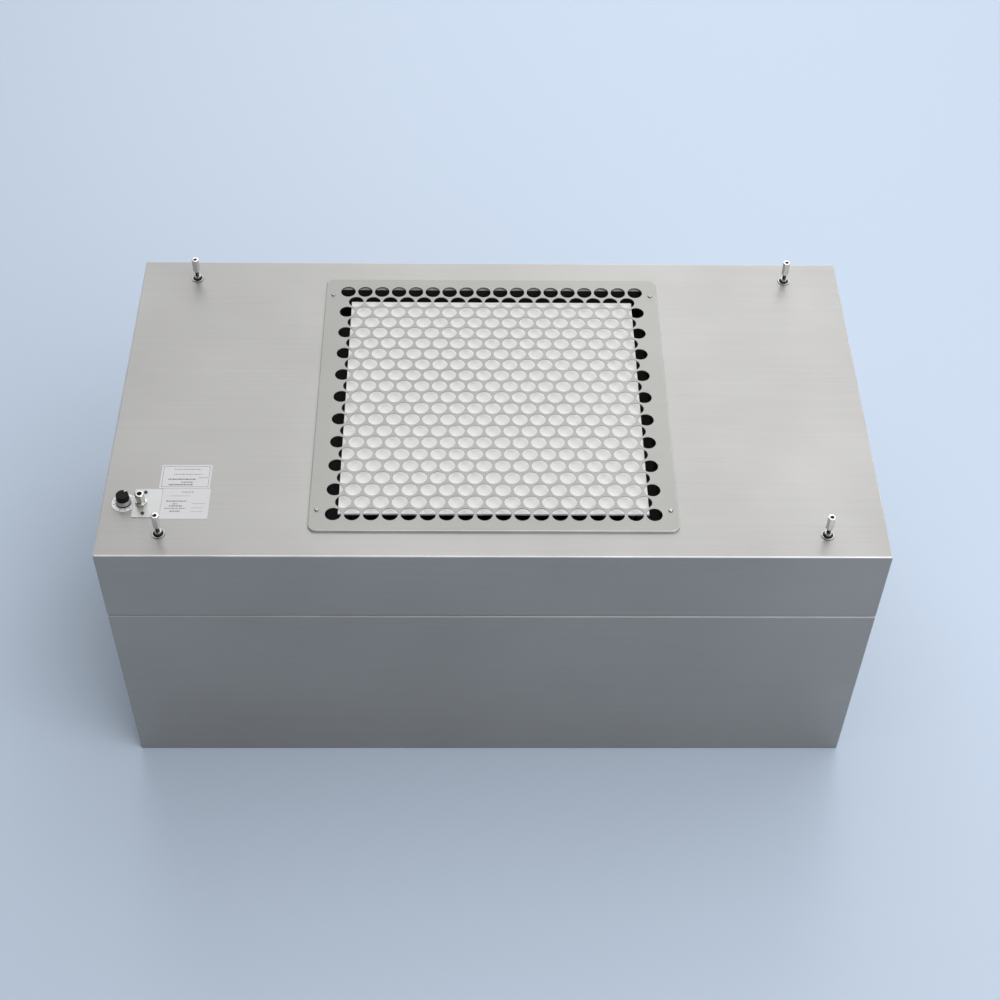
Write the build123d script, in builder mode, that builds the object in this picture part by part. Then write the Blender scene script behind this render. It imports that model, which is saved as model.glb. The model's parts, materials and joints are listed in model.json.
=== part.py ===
# Fan filter unit for a cleanroom ceiling: a two-part steel housing that hangs by four
# threaded hangers, draws air through a perforated pre-filter grille and a fleece mat,
# and blows it down through a deep-pleat filter.
# Millimetres, +Z up. The origin is the middle of the underside. X runs along the
# length, and the control side is at low X and low Y.

import os
from math import cos, radians, sin

from build123d import *

os.makedirs("parts", exist_ok=True)

# ---------------------------------------------------------------- driving sizes

unit_length = 1175.0
unit_depth = 646.0
lower_height = 368.5  # skirt round the filter
upper_height = 144.0  # cover round the fan inlet
seam_gasket_thickness = 1.5
housing_sheet = 1.2
fold_radius = 2.4  # outside of every housing fold
seam_flange_width = 22.0
base_flange_width = 26.0

# air inlet and pre-filter
grille_side = 554.0
grille_corner = 13.0
grille_rise = 4.0
grille_sheet = 1.2
grille_edge_radius = 1.6
grille_hole_diameter = 24.5
grille_hole_pitch = 28.26
grille_side_margin = 36.4  # least distance from the grille's edge to a hole's centre
grille_end_margin = 31.0
grille_screw_inset_x = 12.0
grille_screw_inset_y = 40.4
grille_cover = 22.0  # how far the grille covers the skin round the opening
inlet_corner = 6.0
mat_side_gap = 20.0  # black gap between the mat and the opening
mat_end_gap = 21.0
mat_thickness = 4.0
mat_drop = 8.0  # top of the mat below the housing's skin
mat_corner = 2.0
mat_edge_radius = 1.0
mat_gap = 0.3
rack_inset = 15.0  # from the mat's side to the rack's
rack_bar = 6.0
rack_bar_height = 5.0
rack_bars_each_way = 3
rack_leg_radius = 3.0
rack_leg_sink = 1.0
rack_corner = 8.0

# tray under the opening, with the fan's inlet nozzle in its floor
tray_sheet = 1.0
tray_clearance = 1.0
tray_flange_width = 18.0
tray_depth = 60.0
nozzle_sheet = 1.5
nozzle_flange_radius = 172.0
nozzle_mouth_radius = 148.0
nozzle_throat_radius = 113.0
nozzle_throat_length = 7.0
nozzle_hole_play = 2.0  # radial, in the tray's floor

# fan wheel
wheel_radius = 178.0
wheel_sheet = 3.0
eye_gap = 2.5  # radial running gap round the nozzle's throat
eye_overlap = 5.0  # how far the nozzle reaches into the wheel's eye
eye_lip = 6.0
shroud_bend_radius = 20.0
shroud_bend_angle = 70.0
wheel_depth = 120.0  # from the top of the eye to the underside of the back plate
blade_count = 7
blade_thickness = 3.0
blade_inner_radius = 98.0
blade_sweep_angle = 52.0
blade_arc_radius = 125.0
wheel_screw_count = 6

# external-rotor motor
rotor_radius = 60.0
rotor_wall = 6.0
rotor_rise = 62.0  # above the back plate
rotor_skirt = 8.0  # below the back plate
rotor_flange_radius = 76.0
rotor_flange_thickness = 5.0
rotor_edge_radius = 4.0
shaft_radius = 6.0
shaft_chamfer = 0.8
race_radius = 14.0
race_height = 8.0
race_groove_width = 3.4
race_groove_depth = 0.5
race_fit = 0.03
race_shoulder = 2.0
base_disc_radius = 66.0
base_disc_thickness = 8.0
base_tube_radius = 20.0
base_chamfer = 2.0
shaft_end_gap = 1.0  # between the shaft and the base disc
motor_screw_circle = 50.0
rotor_gap = 6.0  # between the base disc and the rotor's skirt
core_gap = 0.5
core_height = 36.0
core_rise = 1.0  # winding above the lower bearing
slot_count = 12
slot_width = 9.0
slot_root = 12.0  # from the bearing tube to the slots
slot_lip = 5.0
slot_mouth_width = 3.0
slot_mouth_length = 10.0
winding_height = 9.0
winding_gap = 0.2
part_fit = 0.05  # radial play of a screw, stud or hub in its hole

# motor support
support_plate_thickness = 3.0
support_disc_radius = 80.0
support_rod_radius = 6.0
support_rod_circle = 215.0
support_arm_width = 44.0
support_slot_length = 70.0
support_slot_width = 16.0
support_slot_place = 0.62  # of the rod circle
rubber_radius = 14.0
rubber_height = 16.0

# flow baffle
baffle_top = 236.0
baffle_from_end = 227.5
baffle_lip = 18.0

# filter
filter_play = 1.3  # to the housing's walls, all round
filter_height = 150.0
filter_gasket_thickness = 4.0
filter_gasket_width = 14.0
filter_sheet = 1.5
filter_lip = 18.0
potting_width = 10.0
guard_wire = 2.0
guard_pitch = 48.0
bead_height = 1.0
bead_width = 2.0
bead_pitch = 56.0
pleat_pitch = 8.0
pleat_sheet = 0.8

# filter hold-downs
clamp_width = 36.0
clamp_reach = 30.0
clamp_leg = 22.0
clamp_sheet = 3.0
clamp_bolt_inset = 13.0
clamp_lift = 22.0  # underside of the clamp above the filter
clamp_from_end = 197.5
clamp_bolt_spare = 6.0

# ceiling hangers
hanger_inset_x = 91.5  # from the housing's end to the studs
hanger_inset_y = 42.5
hanger_stud_radius = 3.0
hanger_stud_tail = 3.0
hanger_stud_engagement = 12.0
hanger_core_radius = 2.5
stud_end_gap = 0.5
coupling_base = 17.0  # lower end of the coupling nut above the skin
coupling_length = 25.0
washer_radius = 10.0
washer_thickness = 1.6
backing_plate_side = 36.0
backing_plate_thickness = 3.0
backing_plate_corner = 3.0

# control group
knob_from_end = 33.1  # from the housing's end to the knob's axis
knob_from_front = 102.0
control_plate_gap = 0.5  # between the dial's flat side and the plate
control_plate_offset = -0.8  # of the plate's middle, from the knob
control_plate_length = 41.5
control_plate_width = 56.0
control_plate_thickness = 1.0
control_plate_corner = 3.5
control_screw_inset = 16.7  # from the plate's dial side
control_screw_rise = 21.4  # from the plate's middle to the rear screw
control_screw_fall = 20.0  # and to the front one
gland_inset = 12.3  # from the plate's dial side
gland_offset = -0.2  # behind the plate's middle
gland_thread_radius = 6.0
gland_hex_across = 16.0
gland_hex_height = 5.0
gland_neck_radius = 5.8
gland_neck_height = 3.0
gland_cap_radius = 7.2
gland_cap_height = 14.0
gland_cable_radius = 2.8
gland_seal_wall = 1.2
gland_seal_drop = 1.0  # top of the seal below the top of the cap
gland_cap_edge = 2.0
gland_tail = 10.0
gland_lock_across = 17.0
gland_lock_height = 4.0
dial_radius = 18.0
dial_flat = 13.4  # from the knob's axis to the side cut flat beside the plate
dial_thickness = 1.0
knob_base_radius = 11.8
knob_base_height = 3.0
knob_core_radius = 8.8
skirt_height = 5.9
knob_radius = 10.8
knob_top_radius = 10.1
knob_height = 9.1  # of the fluted cap
knob_flutes = 18
flute_radius = 0.9
knob_recess_radius = 6.6
knob_fit = 0.02
knob_end_gap = 0.2
dial_gap = 0.6
potentiometer_radius = 8.5
potentiometer_depth = 10.0
bushing_radius = 3.5
bushing_rise = 5.0  # above the dial
bushing_nut_height = 2.0
bushing_gap = 0.5  # between the bushing's end and the knob
spindle_radius = 3.0
spindle_rise = 14.0
spindle_end_gap = 0.2

# control box under the skin
box_end_gap = 4.3  # between the box and the housing's end wall
box_offset = 6.0  # behind the knob
box_length = 112.0
box_width = 68.0
box_depth = 62.0
box_sheet = 1.0
box_flange = 8.0
pillar_height = 6.0
pillar_radius = 3.0
board_length = 90.0
board_depth = 50.0
board_thickness = 1.6
capacitor_radius = 14.0
capacitor_length = 46.0
capacitor_edge_radius = 1.5
board_margin = 2.0  # from the board's edge to what stands on it
terminal_length = 32.0
terminal_depth = 11.0
terminal_height = 14.0
terminal_count = 4
terminal_hole_radius = 2.2

# blank stickers beside the control plate
sticker_thickness = 0.3
sticker_corner = 1.5
sticker_gap = 0.5
front_sticker_length = 71.5
front_sticker_width = 60.0
front_sticker_offset = -0.2  # behind the plate's middle
rear_sticker_length = 76.5
rear_sticker_width = 47.5
rear_sticker_shift = 7.0  # towards the housing's end

# fasteners
m6_across = 10.0
m6_radius = 3.0
m6_head_height = 4.0
m6_nut_height = 5.0
m8_across = 13.0
m8_radius = 4.0
m8_nut_height = 6.5
bolt_play = 0.3
bolt_tail = 2.0
screw_tail = 6.0
seam_bolt_from_end = 137.5
seam_bolt_from_side = 163.0
grille_screw_radius = 1.75
grille_screw_head_radius = 3.3
grille_screw_head_height = 2.2
grille_screw_recess = 0.9
grille_spacer_radius = 4.5
control_screw_radius = 1.5
control_screw_head_radius = 2.7
control_screw_head_height = 1.8
control_screw_recess = 0.7
wheel_screw_radius = 2.5
wheel_screw_head_radius = 4.4
wheel_screw_head_height = 3.0
wheel_screw_recess = 1.2

# ---------------------------------------------------------------- worked-out levels

inlet_opening = grille_side - 2 * grille_cover
mat_length = inlet_opening - 2 * mat_side_gap
mat_depth = inlet_opening - 2 * mat_end_gap
rack_side = mat_length - 2 * rack_inset
grille_screw_span_x = grille_side - 2 * grille_screw_inset_x
grille_screw_span_y = grille_side - 2 * grille_screw_inset_y
hanger_spacing_x = unit_length - 2 * hanger_inset_x
hanger_spacing_y = unit_depth - 2 * hanger_inset_y
baffle_length = unit_length - 2 * baffle_from_end
seam_low = lower_height
seam_high = seam_low + seam_gasket_thickness
unit_height = seam_high + upper_height
skin_under = unit_height - housing_sheet
inner_length = unit_length - 2 * housing_sheet
inner_depth = unit_depth - 2 * housing_sheet
grille_top = unit_height + grille_rise
tray_inner = inlet_opening + 2 * tray_clearance
tray_floor_under = skin_under - tray_depth
tray_floor_top = tray_floor_under + tray_sheet
mat_top = unit_height - mat_drop
mat_under = mat_top - mat_thickness
rack_top = mat_under - mat_gap
nozzle_line = tray_floor_top + nozzle_sheet / 2
nozzle_bend_radius = nozzle_mouth_radius - nozzle_throat_radius
throat_end = nozzle_line - nozzle_bend_radius - nozzle_throat_length
eye_top = throat_end + eye_overlap
eye_radius = nozzle_throat_radius + (nozzle_sheet + wheel_sheet) / 2 + eye_gap
back_under = eye_top - wheel_depth
back_top = back_under + wheel_sheet
rotor_low = back_under - rotor_skirt
rotor_high = back_top + rotor_rise
base_top = rotor_low - rotor_gap
base_under = base_top - base_disc_thickness
support_plate_under = base_under - support_plate_thickness
filter_low = housing_sheet + filter_gasket_thickness
filter_high = filter_low + filter_height
filter_length = inner_length - 2 * filter_play
filter_depth = inner_depth - 2 * filter_play
clamp_under = filter_high + clamp_lift
coupling_top = unit_height + coupling_base + coupling_length
seam_bolt_inset = (seam_flange_width + fold_radius) / 2

# the control group, from the housing's front corner
knob_x = knob_from_end - unit_length / 2
knob_y = knob_from_front - unit_depth / 2
control_plate_edge = knob_x + dial_flat + control_plate_gap
control_plate_x = control_plate_edge + control_plate_length / 2
control_plate_y = knob_y + control_plate_offset
gland_x = control_plate_edge + gland_inset
gland_y = control_plate_y + gland_offset
control_screw_places = [
    (control_plate_edge + control_screw_inset, control_plate_y + control_screw_rise),
    (control_plate_edge + control_screw_inset, control_plate_y - control_screw_fall),
]


def hex_blank(across_flats, height, bore_radius):
    # a hexagon with its corners turned down at both ends, bored through
    corner_radius = across_flats / 2 / cos(radians(30))
    face_radius = across_flats * 0.475
    corner_drop = (corner_radius - face_radius) * 0.5
    with BuildPart() as blank:
        with BuildSketch():
            RegularPolygon(across_flats / 2, 6, major_radius=False)
        extrude(amount=height)
        with BuildSketch(Plane.XZ):
            with BuildLine():
                Polyline(
                    (0, 0),
                    (face_radius, 0),
                    (corner_radius, corner_drop),
                    (corner_radius, height - corner_drop),
                    (face_radius, height),
                    (0, height),
                    close=True,
                )
            make_face()
        revolve(axis=Axis.Z, mode=Mode.INTERSECT)
        if bore_radius:
            with BuildSketch():
                Circle(bore_radius)
            extrude(amount=height, mode=Mode.SUBTRACT)
    return blank.part


def hex_bolt(across_flats, head_height, shank_radius, shank_length):
    # head on z = 0 upwards, shank downwards
    head = hex_blank(across_flats, head_height, 0)
    with BuildPart() as bolt:
        add(head)
        with BuildSketch():
            Circle(shank_radius)
        extrude(amount=-shank_length)
        chamfer(bolt.faces().sort_by(Axis.Z)[0].edges(), shank_radius * 0.2)
    return bolt.part


def pan_screw(head_radius, head_height, shank_radius, shank_length, recess_width):
    # domed head on z = 0 upwards with a cross recess, shank downwards
    with BuildPart() as screw:
        with BuildSketch():
            Circle(head_radius)
        extrude(amount=head_height)
        fillet(screw.faces().sort_by(Axis.Z)[-1].edges(), head_height * 0.6)
        with BuildSketch():
            Circle(shank_radius)
        extrude(amount=-shank_length)
        with BuildSketch(Plane.XY.offset(head_height * 0.45)):
            Rectangle(head_radius * 1.2, recess_width)
            Rectangle(recess_width, head_radius * 1.2)
        extrude(amount=head_height, mode=Mode.SUBTRACT)
    return screw.part


def save(builder, name):
    builder.part.label = name
    export_step(builder.part, f"parts/{name}.step")


# ---------------------------------------------------------------- housing

seam_bolt_reach = unit_length / 2 - seam_bolt_from_end
long_bolt_xs = [seam_bolt_reach * share for share in (-1, -1 / 3, 1 / 3, 1)]
short_bolt_y = unit_depth / 2 - seam_bolt_from_side
seam_bolt_y = unit_depth / 2 - housing_sheet - seam_bolt_inset
seam_bolt_x = unit_length / 2 - housing_sheet - seam_bolt_inset
seam_bolt_places = [(x, side * seam_bolt_y) for x in long_bolt_xs for side in (-1, 1)]
seam_bolt_places += [(side * seam_bolt_x, y) for y in (-short_bolt_y, short_bolt_y) for side in (-1, 1)]


def folded_shell(low, high, low_flange, high_flange):
    # a sheet box with its walls folded inward at both ends; a flange of None is a closed end
    with BuildPart() as shell:
        with BuildSketch(Plane.XY.offset(low)):
            RectangleRounded(unit_length, unit_depth, fold_radius)
        extrude(amount=high - low)
        fillet(shell.edges().filter_by_position(Axis.Z, low, low), fold_radius * 0.99)
        fillet(shell.edges().filter_by_position(Axis.Z, high, high), fold_radius * 0.99)
        with BuildSketch(Plane.XY.offset(low + housing_sheet)):
            RectangleRounded(inner_length, inner_depth, fold_radius - housing_sheet)
        extrude(amount=high - low - 2 * housing_sheet, mode=Mode.SUBTRACT)
        for level, flange in ((low, low_flange), (high - housing_sheet, high_flange)):
            if flange:
                with BuildSketch(Plane.XY.offset(level)):
                    RectangleRounded(
                        inner_length - 2 * flange, inner_depth - 2 * flange, inlet_corner
                    )
                extrude(amount=housing_sheet, mode=Mode.SUBTRACT)
    return shell.part


upper_shell = folded_shell(seam_high, unit_height, seam_flange_width, None)
with BuildPart() as upper_housing:
    add(upper_shell)
    with BuildSketch(Plane.XY.offset(skin_under)):
        RectangleRounded(inlet_opening, inlet_opening, inlet_corner)
        with GridLocations(hanger_spacing_x, hanger_spacing_y, 2, 2):
            Circle(hanger_stud_radius + bolt_play)
        with GridLocations(grille_screw_span_x, grille_screw_span_y, 2, 2):
            Circle(grille_screw_radius + part_fit)
        with Locations((gland_x, gland_y)):
            Circle(gland_thread_radius + bolt_play)
        with Locations((knob_x, knob_y)):
            Circle(bushing_radius + bolt_play)
        with Locations(*control_screw_places):
            Circle(control_screw_radius + part_fit)
    extrude(amount=housing_sheet, mode=Mode.SUBTRACT)
    with BuildSketch(Plane.XY.offset(seam_high)):
        with Locations(*seam_bolt_places):
            Circle(m6_radius + bolt_play)
    extrude(amount=housing_sheet, mode=Mode.SUBTRACT)
save(upper_housing, "upper_housing")

lower_shell = folded_shell(0, seam_low, base_flange_width, seam_flange_width)
with BuildPart() as lower_housing:
    add(lower_shell)
    with BuildSketch(Plane.XY.offset(seam_low - housing_sheet)):
        with Locations(*seam_bolt_places):
            Circle(m6_radius + bolt_play)
    extrude(amount=housing_sheet, mode=Mode.SUBTRACT)
save(lower_housing, "lower_housing")
print("housing")

with BuildPart() as seam_gasket:
    with BuildSketch(Plane.XY.offset(seam_low)):
        Rectangle(inner_length - fold_radius, inner_depth - fold_radius)
        Rectangle(
            inner_length - 2 * seam_flange_width,
            inner_depth - 2 * seam_flange_width,
            mode=Mode.SUBTRACT,
        )
        with Locations(*seam_bolt_places):
            Circle(m6_radius + 2 * bolt_play, mode=Mode.SUBTRACT)
    extrude(amount=seam_gasket_thickness)
save(seam_gasket, "seam_gasket")

seam_grip = seam_gasket_thickness + 2 * housing_sheet
seam_bolt = hex_bolt(m6_across, m6_head_height, m6_radius, seam_grip + m6_nut_height + bolt_tail)
with BuildPart() as seam_bolts:
    with Locations(*[(x, y, seam_high + housing_sheet) for x, y in seam_bolt_places]):
        add(seam_bolt)
save(seam_bolts, "seam_bolts")

m6_nut = hex_blank(m6_across, m6_nut_height, m6_radius + part_fit)
with BuildPart() as seam_nuts:
    with Locations(
        *[(x, y, seam_low - housing_sheet - m6_nut_height) for x, y in seam_bolt_places]
    ):
        add(m6_nut)
save(seam_nuts, "seam_nuts")

# ---------------------------------------------------------------- pre-filter

grille_row_pitch = grille_hole_pitch * sin(radians(60))
grille_columns = 1 + int((grille_side - 2 * grille_side_margin) / grille_hole_pitch)
grille_long_rows = 1 + int((grille_side - 2 * grille_end_margin) / (2 * grille_row_pitch))
with BuildPart() as prefilter_grille:
    with BuildSketch(Plane.XY.offset(unit_height)):
        RectangleRounded(grille_side, grille_side, grille_corner)
    extrude(amount=grille_rise)
    fillet(prefilter_grille.faces().sort_by(Axis.Z)[-1].edges(), grille_edge_radius)
    with BuildSketch(Plane.XY.offset(unit_height)):
        RectangleRounded(
            grille_side - 2 * grille_sheet,
            grille_side - 2 * grille_sheet,
            grille_corner - grille_sheet,
        )
    extrude(amount=grille_rise - grille_sheet, mode=Mode.SUBTRACT)
    # staggered round holes: long rows, and rows one hole shorter between them
    with BuildSketch(Plane.XY.offset(grille_top - grille_sheet)):
        with GridLocations(
            grille_hole_pitch, 2 * grille_row_pitch, grille_columns, grille_long_rows
        ):
            Circle(grille_hole_diameter / 2)
        with GridLocations(
            grille_hole_pitch, 2 * grille_row_pitch, grille_columns - 1, grille_long_rows - 1
        ):
            Circle(grille_hole_diameter / 2)
        with GridLocations(grille_screw_span_x, grille_screw_span_y, 2, 2):
            Circle(grille_screw_radius + bolt_play)
    extrude(amount=grille_sheet, mode=Mode.SUBTRACT)
save(prefilter_grille, "prefilter_grille")
print("grille")

grille_screw = pan_screw(
    grille_screw_head_radius,
    grille_screw_head_height,
    grille_screw_radius,
    grille_rise + housing_sheet + screw_tail,
    grille_screw_recess,
)
with BuildPart() as grille_screws:
    with Locations((0, 0, grille_top)):
        with GridLocations(grille_screw_span_x, grille_screw_span_y, 2, 2):
            add(grille_screw)
save(grille_screws, "grille_screws")

with BuildPart() as grille_spacers:
    with BuildSketch(Plane.XY.offset(unit_height)):
        with GridLocations(grille_screw_span_x, grille_screw_span_y, 2, 2):
            Circle(grille_spacer_radius)
            Circle(grille_screw_radius + bolt_play, mode=Mode.SUBTRACT)
    extrude(amount=grille_rise - grille_sheet)
save(grille_spacers, "grille_spacers")

with BuildPart() as prefilter_mat:
    with BuildSketch(Plane.XY.offset(mat_under)):
        RectangleRounded(mat_length, mat_depth, mat_corner)
    extrude(amount=mat_thickness)
    fillet(prefilter_mat.faces().sort_by(Axis.Z)[-1].edges(), mat_edge_radius)
save(prefilter_mat, "prefilter_mat")

rack_leg_span = rack_side - 2 * rack_leg_radius
with BuildPart() as mat_rack:
    with BuildSketch(Plane.XY.offset(rack_top - rack_bar_height)):
        RectangleRounded(rack_side, rack_side, rack_corner)
        RectangleRounded(
            rack_side - 2 * rack_bar,
            rack_side - 2 * rack_bar,
            rack_corner - rack_bar,
            mode=Mode.SUBTRACT,
        )
        bar_pitch = rack_side / (rack_bars_each_way + 1)
        with GridLocations(bar_pitch, 0, rack_bars_each_way, 1):
            Rectangle(rack_bar, rack_side - rack_bar)
        with GridLocations(0, bar_pitch, 1, rack_bars_each_way):
            Rectangle(rack_side - rack_bar, rack_bar)
    extrude(amount=rack_bar_height)
    with BuildSketch(Plane.XY.offset(tray_floor_top)):
        with GridLocations(rack_leg_span, rack_leg_span, 2, 2):
            Circle(rack_leg_radius)
    extrude(amount=rack_top - tray_floor_top - rack_leg_sink)
save(mat_rack, "mat_rack")

# ---------------------------------------------------------------- inlet tray and nozzle

with BuildPart() as inlet_tray:
    with BuildSketch(Plane.XY.offset(tray_floor_under)):
        RectangleRounded(
            tray_inner + 2 * tray_sheet, tray_inner + 2 * tray_sheet, inlet_corner + tray_sheet
        )
    extrude(amount=tray_depth)
    with BuildSketch(Plane.XY.offset(skin_under - tray_sheet)):
        Rectangle(tray_inner + 2 * tray_flange_width, tray_inner + 2 * tray_flange_width)
    extrude(amount=tray_sheet)
    with BuildSketch(Plane.XY.offset(tray_floor_top)):
        RectangleRounded(tray_inner, tray_inner, inlet_corner)
    extrude(amount=tray_depth, mode=Mode.SUBTRACT)
    with BuildSketch(Plane.XY.offset(tray_floor_under)):
        Circle(nozzle_mouth_radius + nozzle_hole_play)
        with PolarLocations(support_rod_circle, 4, start_angle=45):
            Circle(m8_radius + bolt_play)
    extrude(amount=tray_sheet, mode=Mode.SUBTRACT)
    with BuildSketch(Plane.XY.offset(skin_under - tray_sheet)):
        with GridLocations(grille_screw_span_x, grille_screw_span_y, 2, 2):
            Circle(grille_screw_radius + part_fit)
    extrude(amount=tray_sheet, mode=Mode.SUBTRACT)
save(inlet_tray, "inlet_tray")

# the spun nozzle: flange, quarter-round mouth, straight throat
with BuildPart() as inlet_nozzle:
    with BuildSketch(Plane.XZ):
        with BuildLine() as nozzle_curve:
            Line((nozzle_flange_radius, nozzle_line), (nozzle_mouth_radius, nozzle_line))
            JernArc(
                (nozzle_mouth_radius, nozzle_line),
                tangent=(-1, 0),
                radius=nozzle_bend_radius,
                arc_size=90,
            )
            Line(
                (nozzle_throat_radius, nozzle_line - nozzle_bend_radius),
                (nozzle_throat_radius, throat_end),
            )
        trace(line_width=nozzle_sheet)
    revolve(axis=Axis.Z)
save(inlet_nozzle, "inlet_nozzle")

# ---------------------------------------------------------------- fan wheel


def shroud_lines():
    # middle line of the shroud: a lip round the eye, a bend, and a cone to the rim
    lip = Line((eye_radius, eye_top), (eye_radius, eye_top - eye_lip))
    bend = JernArc(lip @ 1, tangent=(0, -1), radius=shroud_bend_radius, arc_size=shroud_bend_angle)
    slope = bend % 1
    run = (wheel_radius - (bend @ 1).X) / slope.X
    cone = Line(bend @ 1, bend @ 1 + slope * run)
    return lip @ 0, cone @ 1


with BuildPart() as blade:
    with BuildSketch(Plane.XY.offset(back_under + wheel_sheet / 2)):
        with BuildLine():
            blade_tip_radius = wheel_radius - blade_thickness
            tip_angle = radians(-blade_sweep_angle)
            RadiusArc(
                (blade_inner_radius, 0),
                (blade_tip_radius * cos(tip_angle), blade_tip_radius * sin(tip_angle)),
                blade_arc_radius,
            )
        trace(line_width=blade_thickness)
    extrude(amount=wheel_depth)
    with BuildSketch(Plane.XZ):
        with BuildLine():
            eye_point, rim_point = shroud_lines()
            inner_edge = blade_inner_radius - 2 * blade_thickness
            Polyline(
                rim_point,
                (wheel_radius, back_under),
                (inner_edge, back_under),
                (inner_edge, eye_top - 5 * eye_lip),
                (eye_radius - blade_thickness, eye_top - 2 * eye_lip),
                eye_point,
            )
        make_face()
    revolve(axis=Axis.Z, mode=Mode.INTERSECT)

wheel_screw_circle = (rotor_radius + rotor_flange_radius) / 2
with BuildPart() as impeller:
    with BuildSketch(Plane.XY.offset(back_under)):
        Circle(wheel_radius)
        Circle(rotor_radius + part_fit, mode=Mode.SUBTRACT)
        with PolarLocations(wheel_screw_circle, wheel_screw_count):
            Circle(wheel_screw_radius + bolt_play, mode=Mode.SUBTRACT)
    extrude(amount=wheel_sheet)
    with BuildSketch(Plane.XZ):
        with BuildLine():
            shroud_lines()
        trace(line_width=wheel_sheet)
    revolve(axis=Axis.Z)
    with PolarLocations(0, blade_count):
        add(blade.part)
save(impeller, "impeller")
print("impeller")

with BuildPart() as motor_rotor:
    with BuildSketch(Plane.XY.offset(rotor_low)):
        Circle(rotor_radius)
    extrude(amount=rotor_high - rotor_low)
    fillet(motor_rotor.faces().sort_by(Axis.Z)[-1].edges(), rotor_edge_radius)
    with BuildSketch(Plane.XY.offset(back_under - rotor_flange_thickness)):
        Circle(rotor_flange_radius)
    extrude(amount=rotor_flange_thickness)
    with BuildSketch(Plane.XY.offset(rotor_low)):
        Circle(rotor_radius - rotor_wall)
    extrude(amount=rotor_high - rotor_low - rotor_wall, mode=Mode.SUBTRACT)
    with BuildSketch(Plane.XY.offset(rotor_high - 3 * rotor_wall)):
        Circle(race_radius)
    extrude(amount=2 * rotor_wall)
    with BuildSketch(Plane.XY.offset(rotor_high - 3 * rotor_wall)):
        Circle(shaft_radius)
    extrude(amount=3 * rotor_wall, mode=Mode.SUBTRACT)
    with BuildSketch(Plane.XY.offset(back_under - rotor_flange_thickness)):
        with PolarLocations(wheel_screw_circle, wheel_screw_count):
            Circle(wheel_screw_radius + part_fit)
    extrude(amount=rotor_flange_thickness, mode=Mode.SUBTRACT)
save(motor_rotor, "motor_rotor")

wheel_screw = pan_screw(
    wheel_screw_head_radius,
    wheel_screw_head_height,
    wheel_screw_radius,
    wheel_sheet + rotor_flange_thickness,
    wheel_screw_recess,
)
with BuildPart() as impeller_screws:
    with Locations((0, 0, back_top)):
        with PolarLocations(wheel_screw_circle, wheel_screw_count):
            add(wheel_screw)
save(impeller_screws, "impeller_screws")

shaft_low = base_top + shaft_end_gap
with BuildPart() as motor_shaft:
    with BuildSketch(Plane.XY.offset(shaft_low)):
        Circle(shaft_radius)
    extrude(amount=rotor_high - shaft_low)
    chamfer(motor_shaft.faces().sort_by(Axis.Z)[0].edges(), shaft_chamfer)
save(motor_shaft, "motor_shaft")

# the fixed half: disc and bearing tube
low_bearing = base_top + shaft_end_gap + race_shoulder
tube_top = rotor_high - 3 * rotor_wall - race_shoulder
high_bearing = tube_top - race_height - race_shoulder
with BuildPart() as motor_base:
    with BuildSketch(Plane.XY.offset(base_under)):
        Circle(base_disc_radius)
    extrude(amount=base_disc_thickness)
    chamfer(motor_base.faces().sort_by(Axis.Z)[-1].edges(), base_chamfer)
    with BuildSketch(Plane.XY.offset(base_top)):
        Circle(base_tube_radius)
    extrude(amount=tube_top - base_top)
    with BuildSketch(Plane.XY.offset(base_top)):
        Circle(race_radius - race_shoulder)
    extrude(amount=tube_top - base_top, mode=Mode.SUBTRACT)
    for low, high in ((low_bearing, low_bearing + race_height), (high_bearing, tube_top)):
        with BuildSketch(Plane.XY.offset(low)):
            Circle(race_radius + race_fit)
        extrude(amount=high - low, mode=Mode.SUBTRACT)
    with BuildSketch(Plane.XY.offset(base_under)):
        with PolarLocations(motor_screw_circle, 4, start_angle=45):
            Circle(m6_radius + part_fit)
    extrude(amount=base_disc_thickness, mode=Mode.SUBTRACT)
save(motor_base, "motor_base")

with BuildPart() as bearing:
    with BuildSketch(Plane.XZ):
        with Locations(((race_radius + shaft_radius + race_fit) / 2, race_height / 2)):
            Rectangle(race_radius - shaft_radius - race_fit, race_height)
            with GridLocations(0, race_height, 1, 2):
                Rectangle(race_groove_width, 2 * race_groove_depth, mode=Mode.SUBTRACT)
    revolve(axis=Axis.Z)
with BuildPart() as motor_bearings:
    with Locations((0, 0, low_bearing), (0, 0, high_bearing)):
        add(bearing.part)
save(motor_bearings, "motor_bearings")

core_radius = rotor_radius - rotor_wall - core_gap
core_low = low_bearing + race_height + winding_height + core_rise
slot_inner = base_tube_radius + slot_root
slot_outer = core_radius - slot_lip
slot_middle = (slot_inner + slot_outer) / 2
with BuildPart() as stator_core:
    with BuildSketch(Plane.XY.offset(core_low)):
        Circle(core_radius)
        Circle(base_tube_radius + part_fit, mode=Mode.SUBTRACT)
        with PolarLocations(slot_middle, slot_count):
            Rectangle(slot_outer - slot_inner, slot_width, mode=Mode.SUBTRACT)
        with PolarLocations(slot_outer + slot_lip - slot_mouth_width, slot_count):
            Rectangle(slot_mouth_length, slot_mouth_width, mode=Mode.SUBTRACT)
    extrude(amount=core_height)
save(stator_core, "stator_core")

with BuildPart() as stator_winding:
    with BuildSketch(Plane.XY.offset(core_low)):
        with PolarLocations(slot_middle, slot_count):
            Rectangle(slot_outer - slot_inner - 2 * winding_gap, slot_width - 2 * winding_gap)
    extrude(amount=core_height)
    for low in (core_low - winding_height, core_low + core_height):
        with BuildSketch(Plane.XY.offset(low)):
            Circle(slot_outer - winding_gap)
            Circle(slot_inner + winding_gap, mode=Mode.SUBTRACT)
        extrude(amount=winding_height)
save(stator_winding, "stator_winding")

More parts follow.
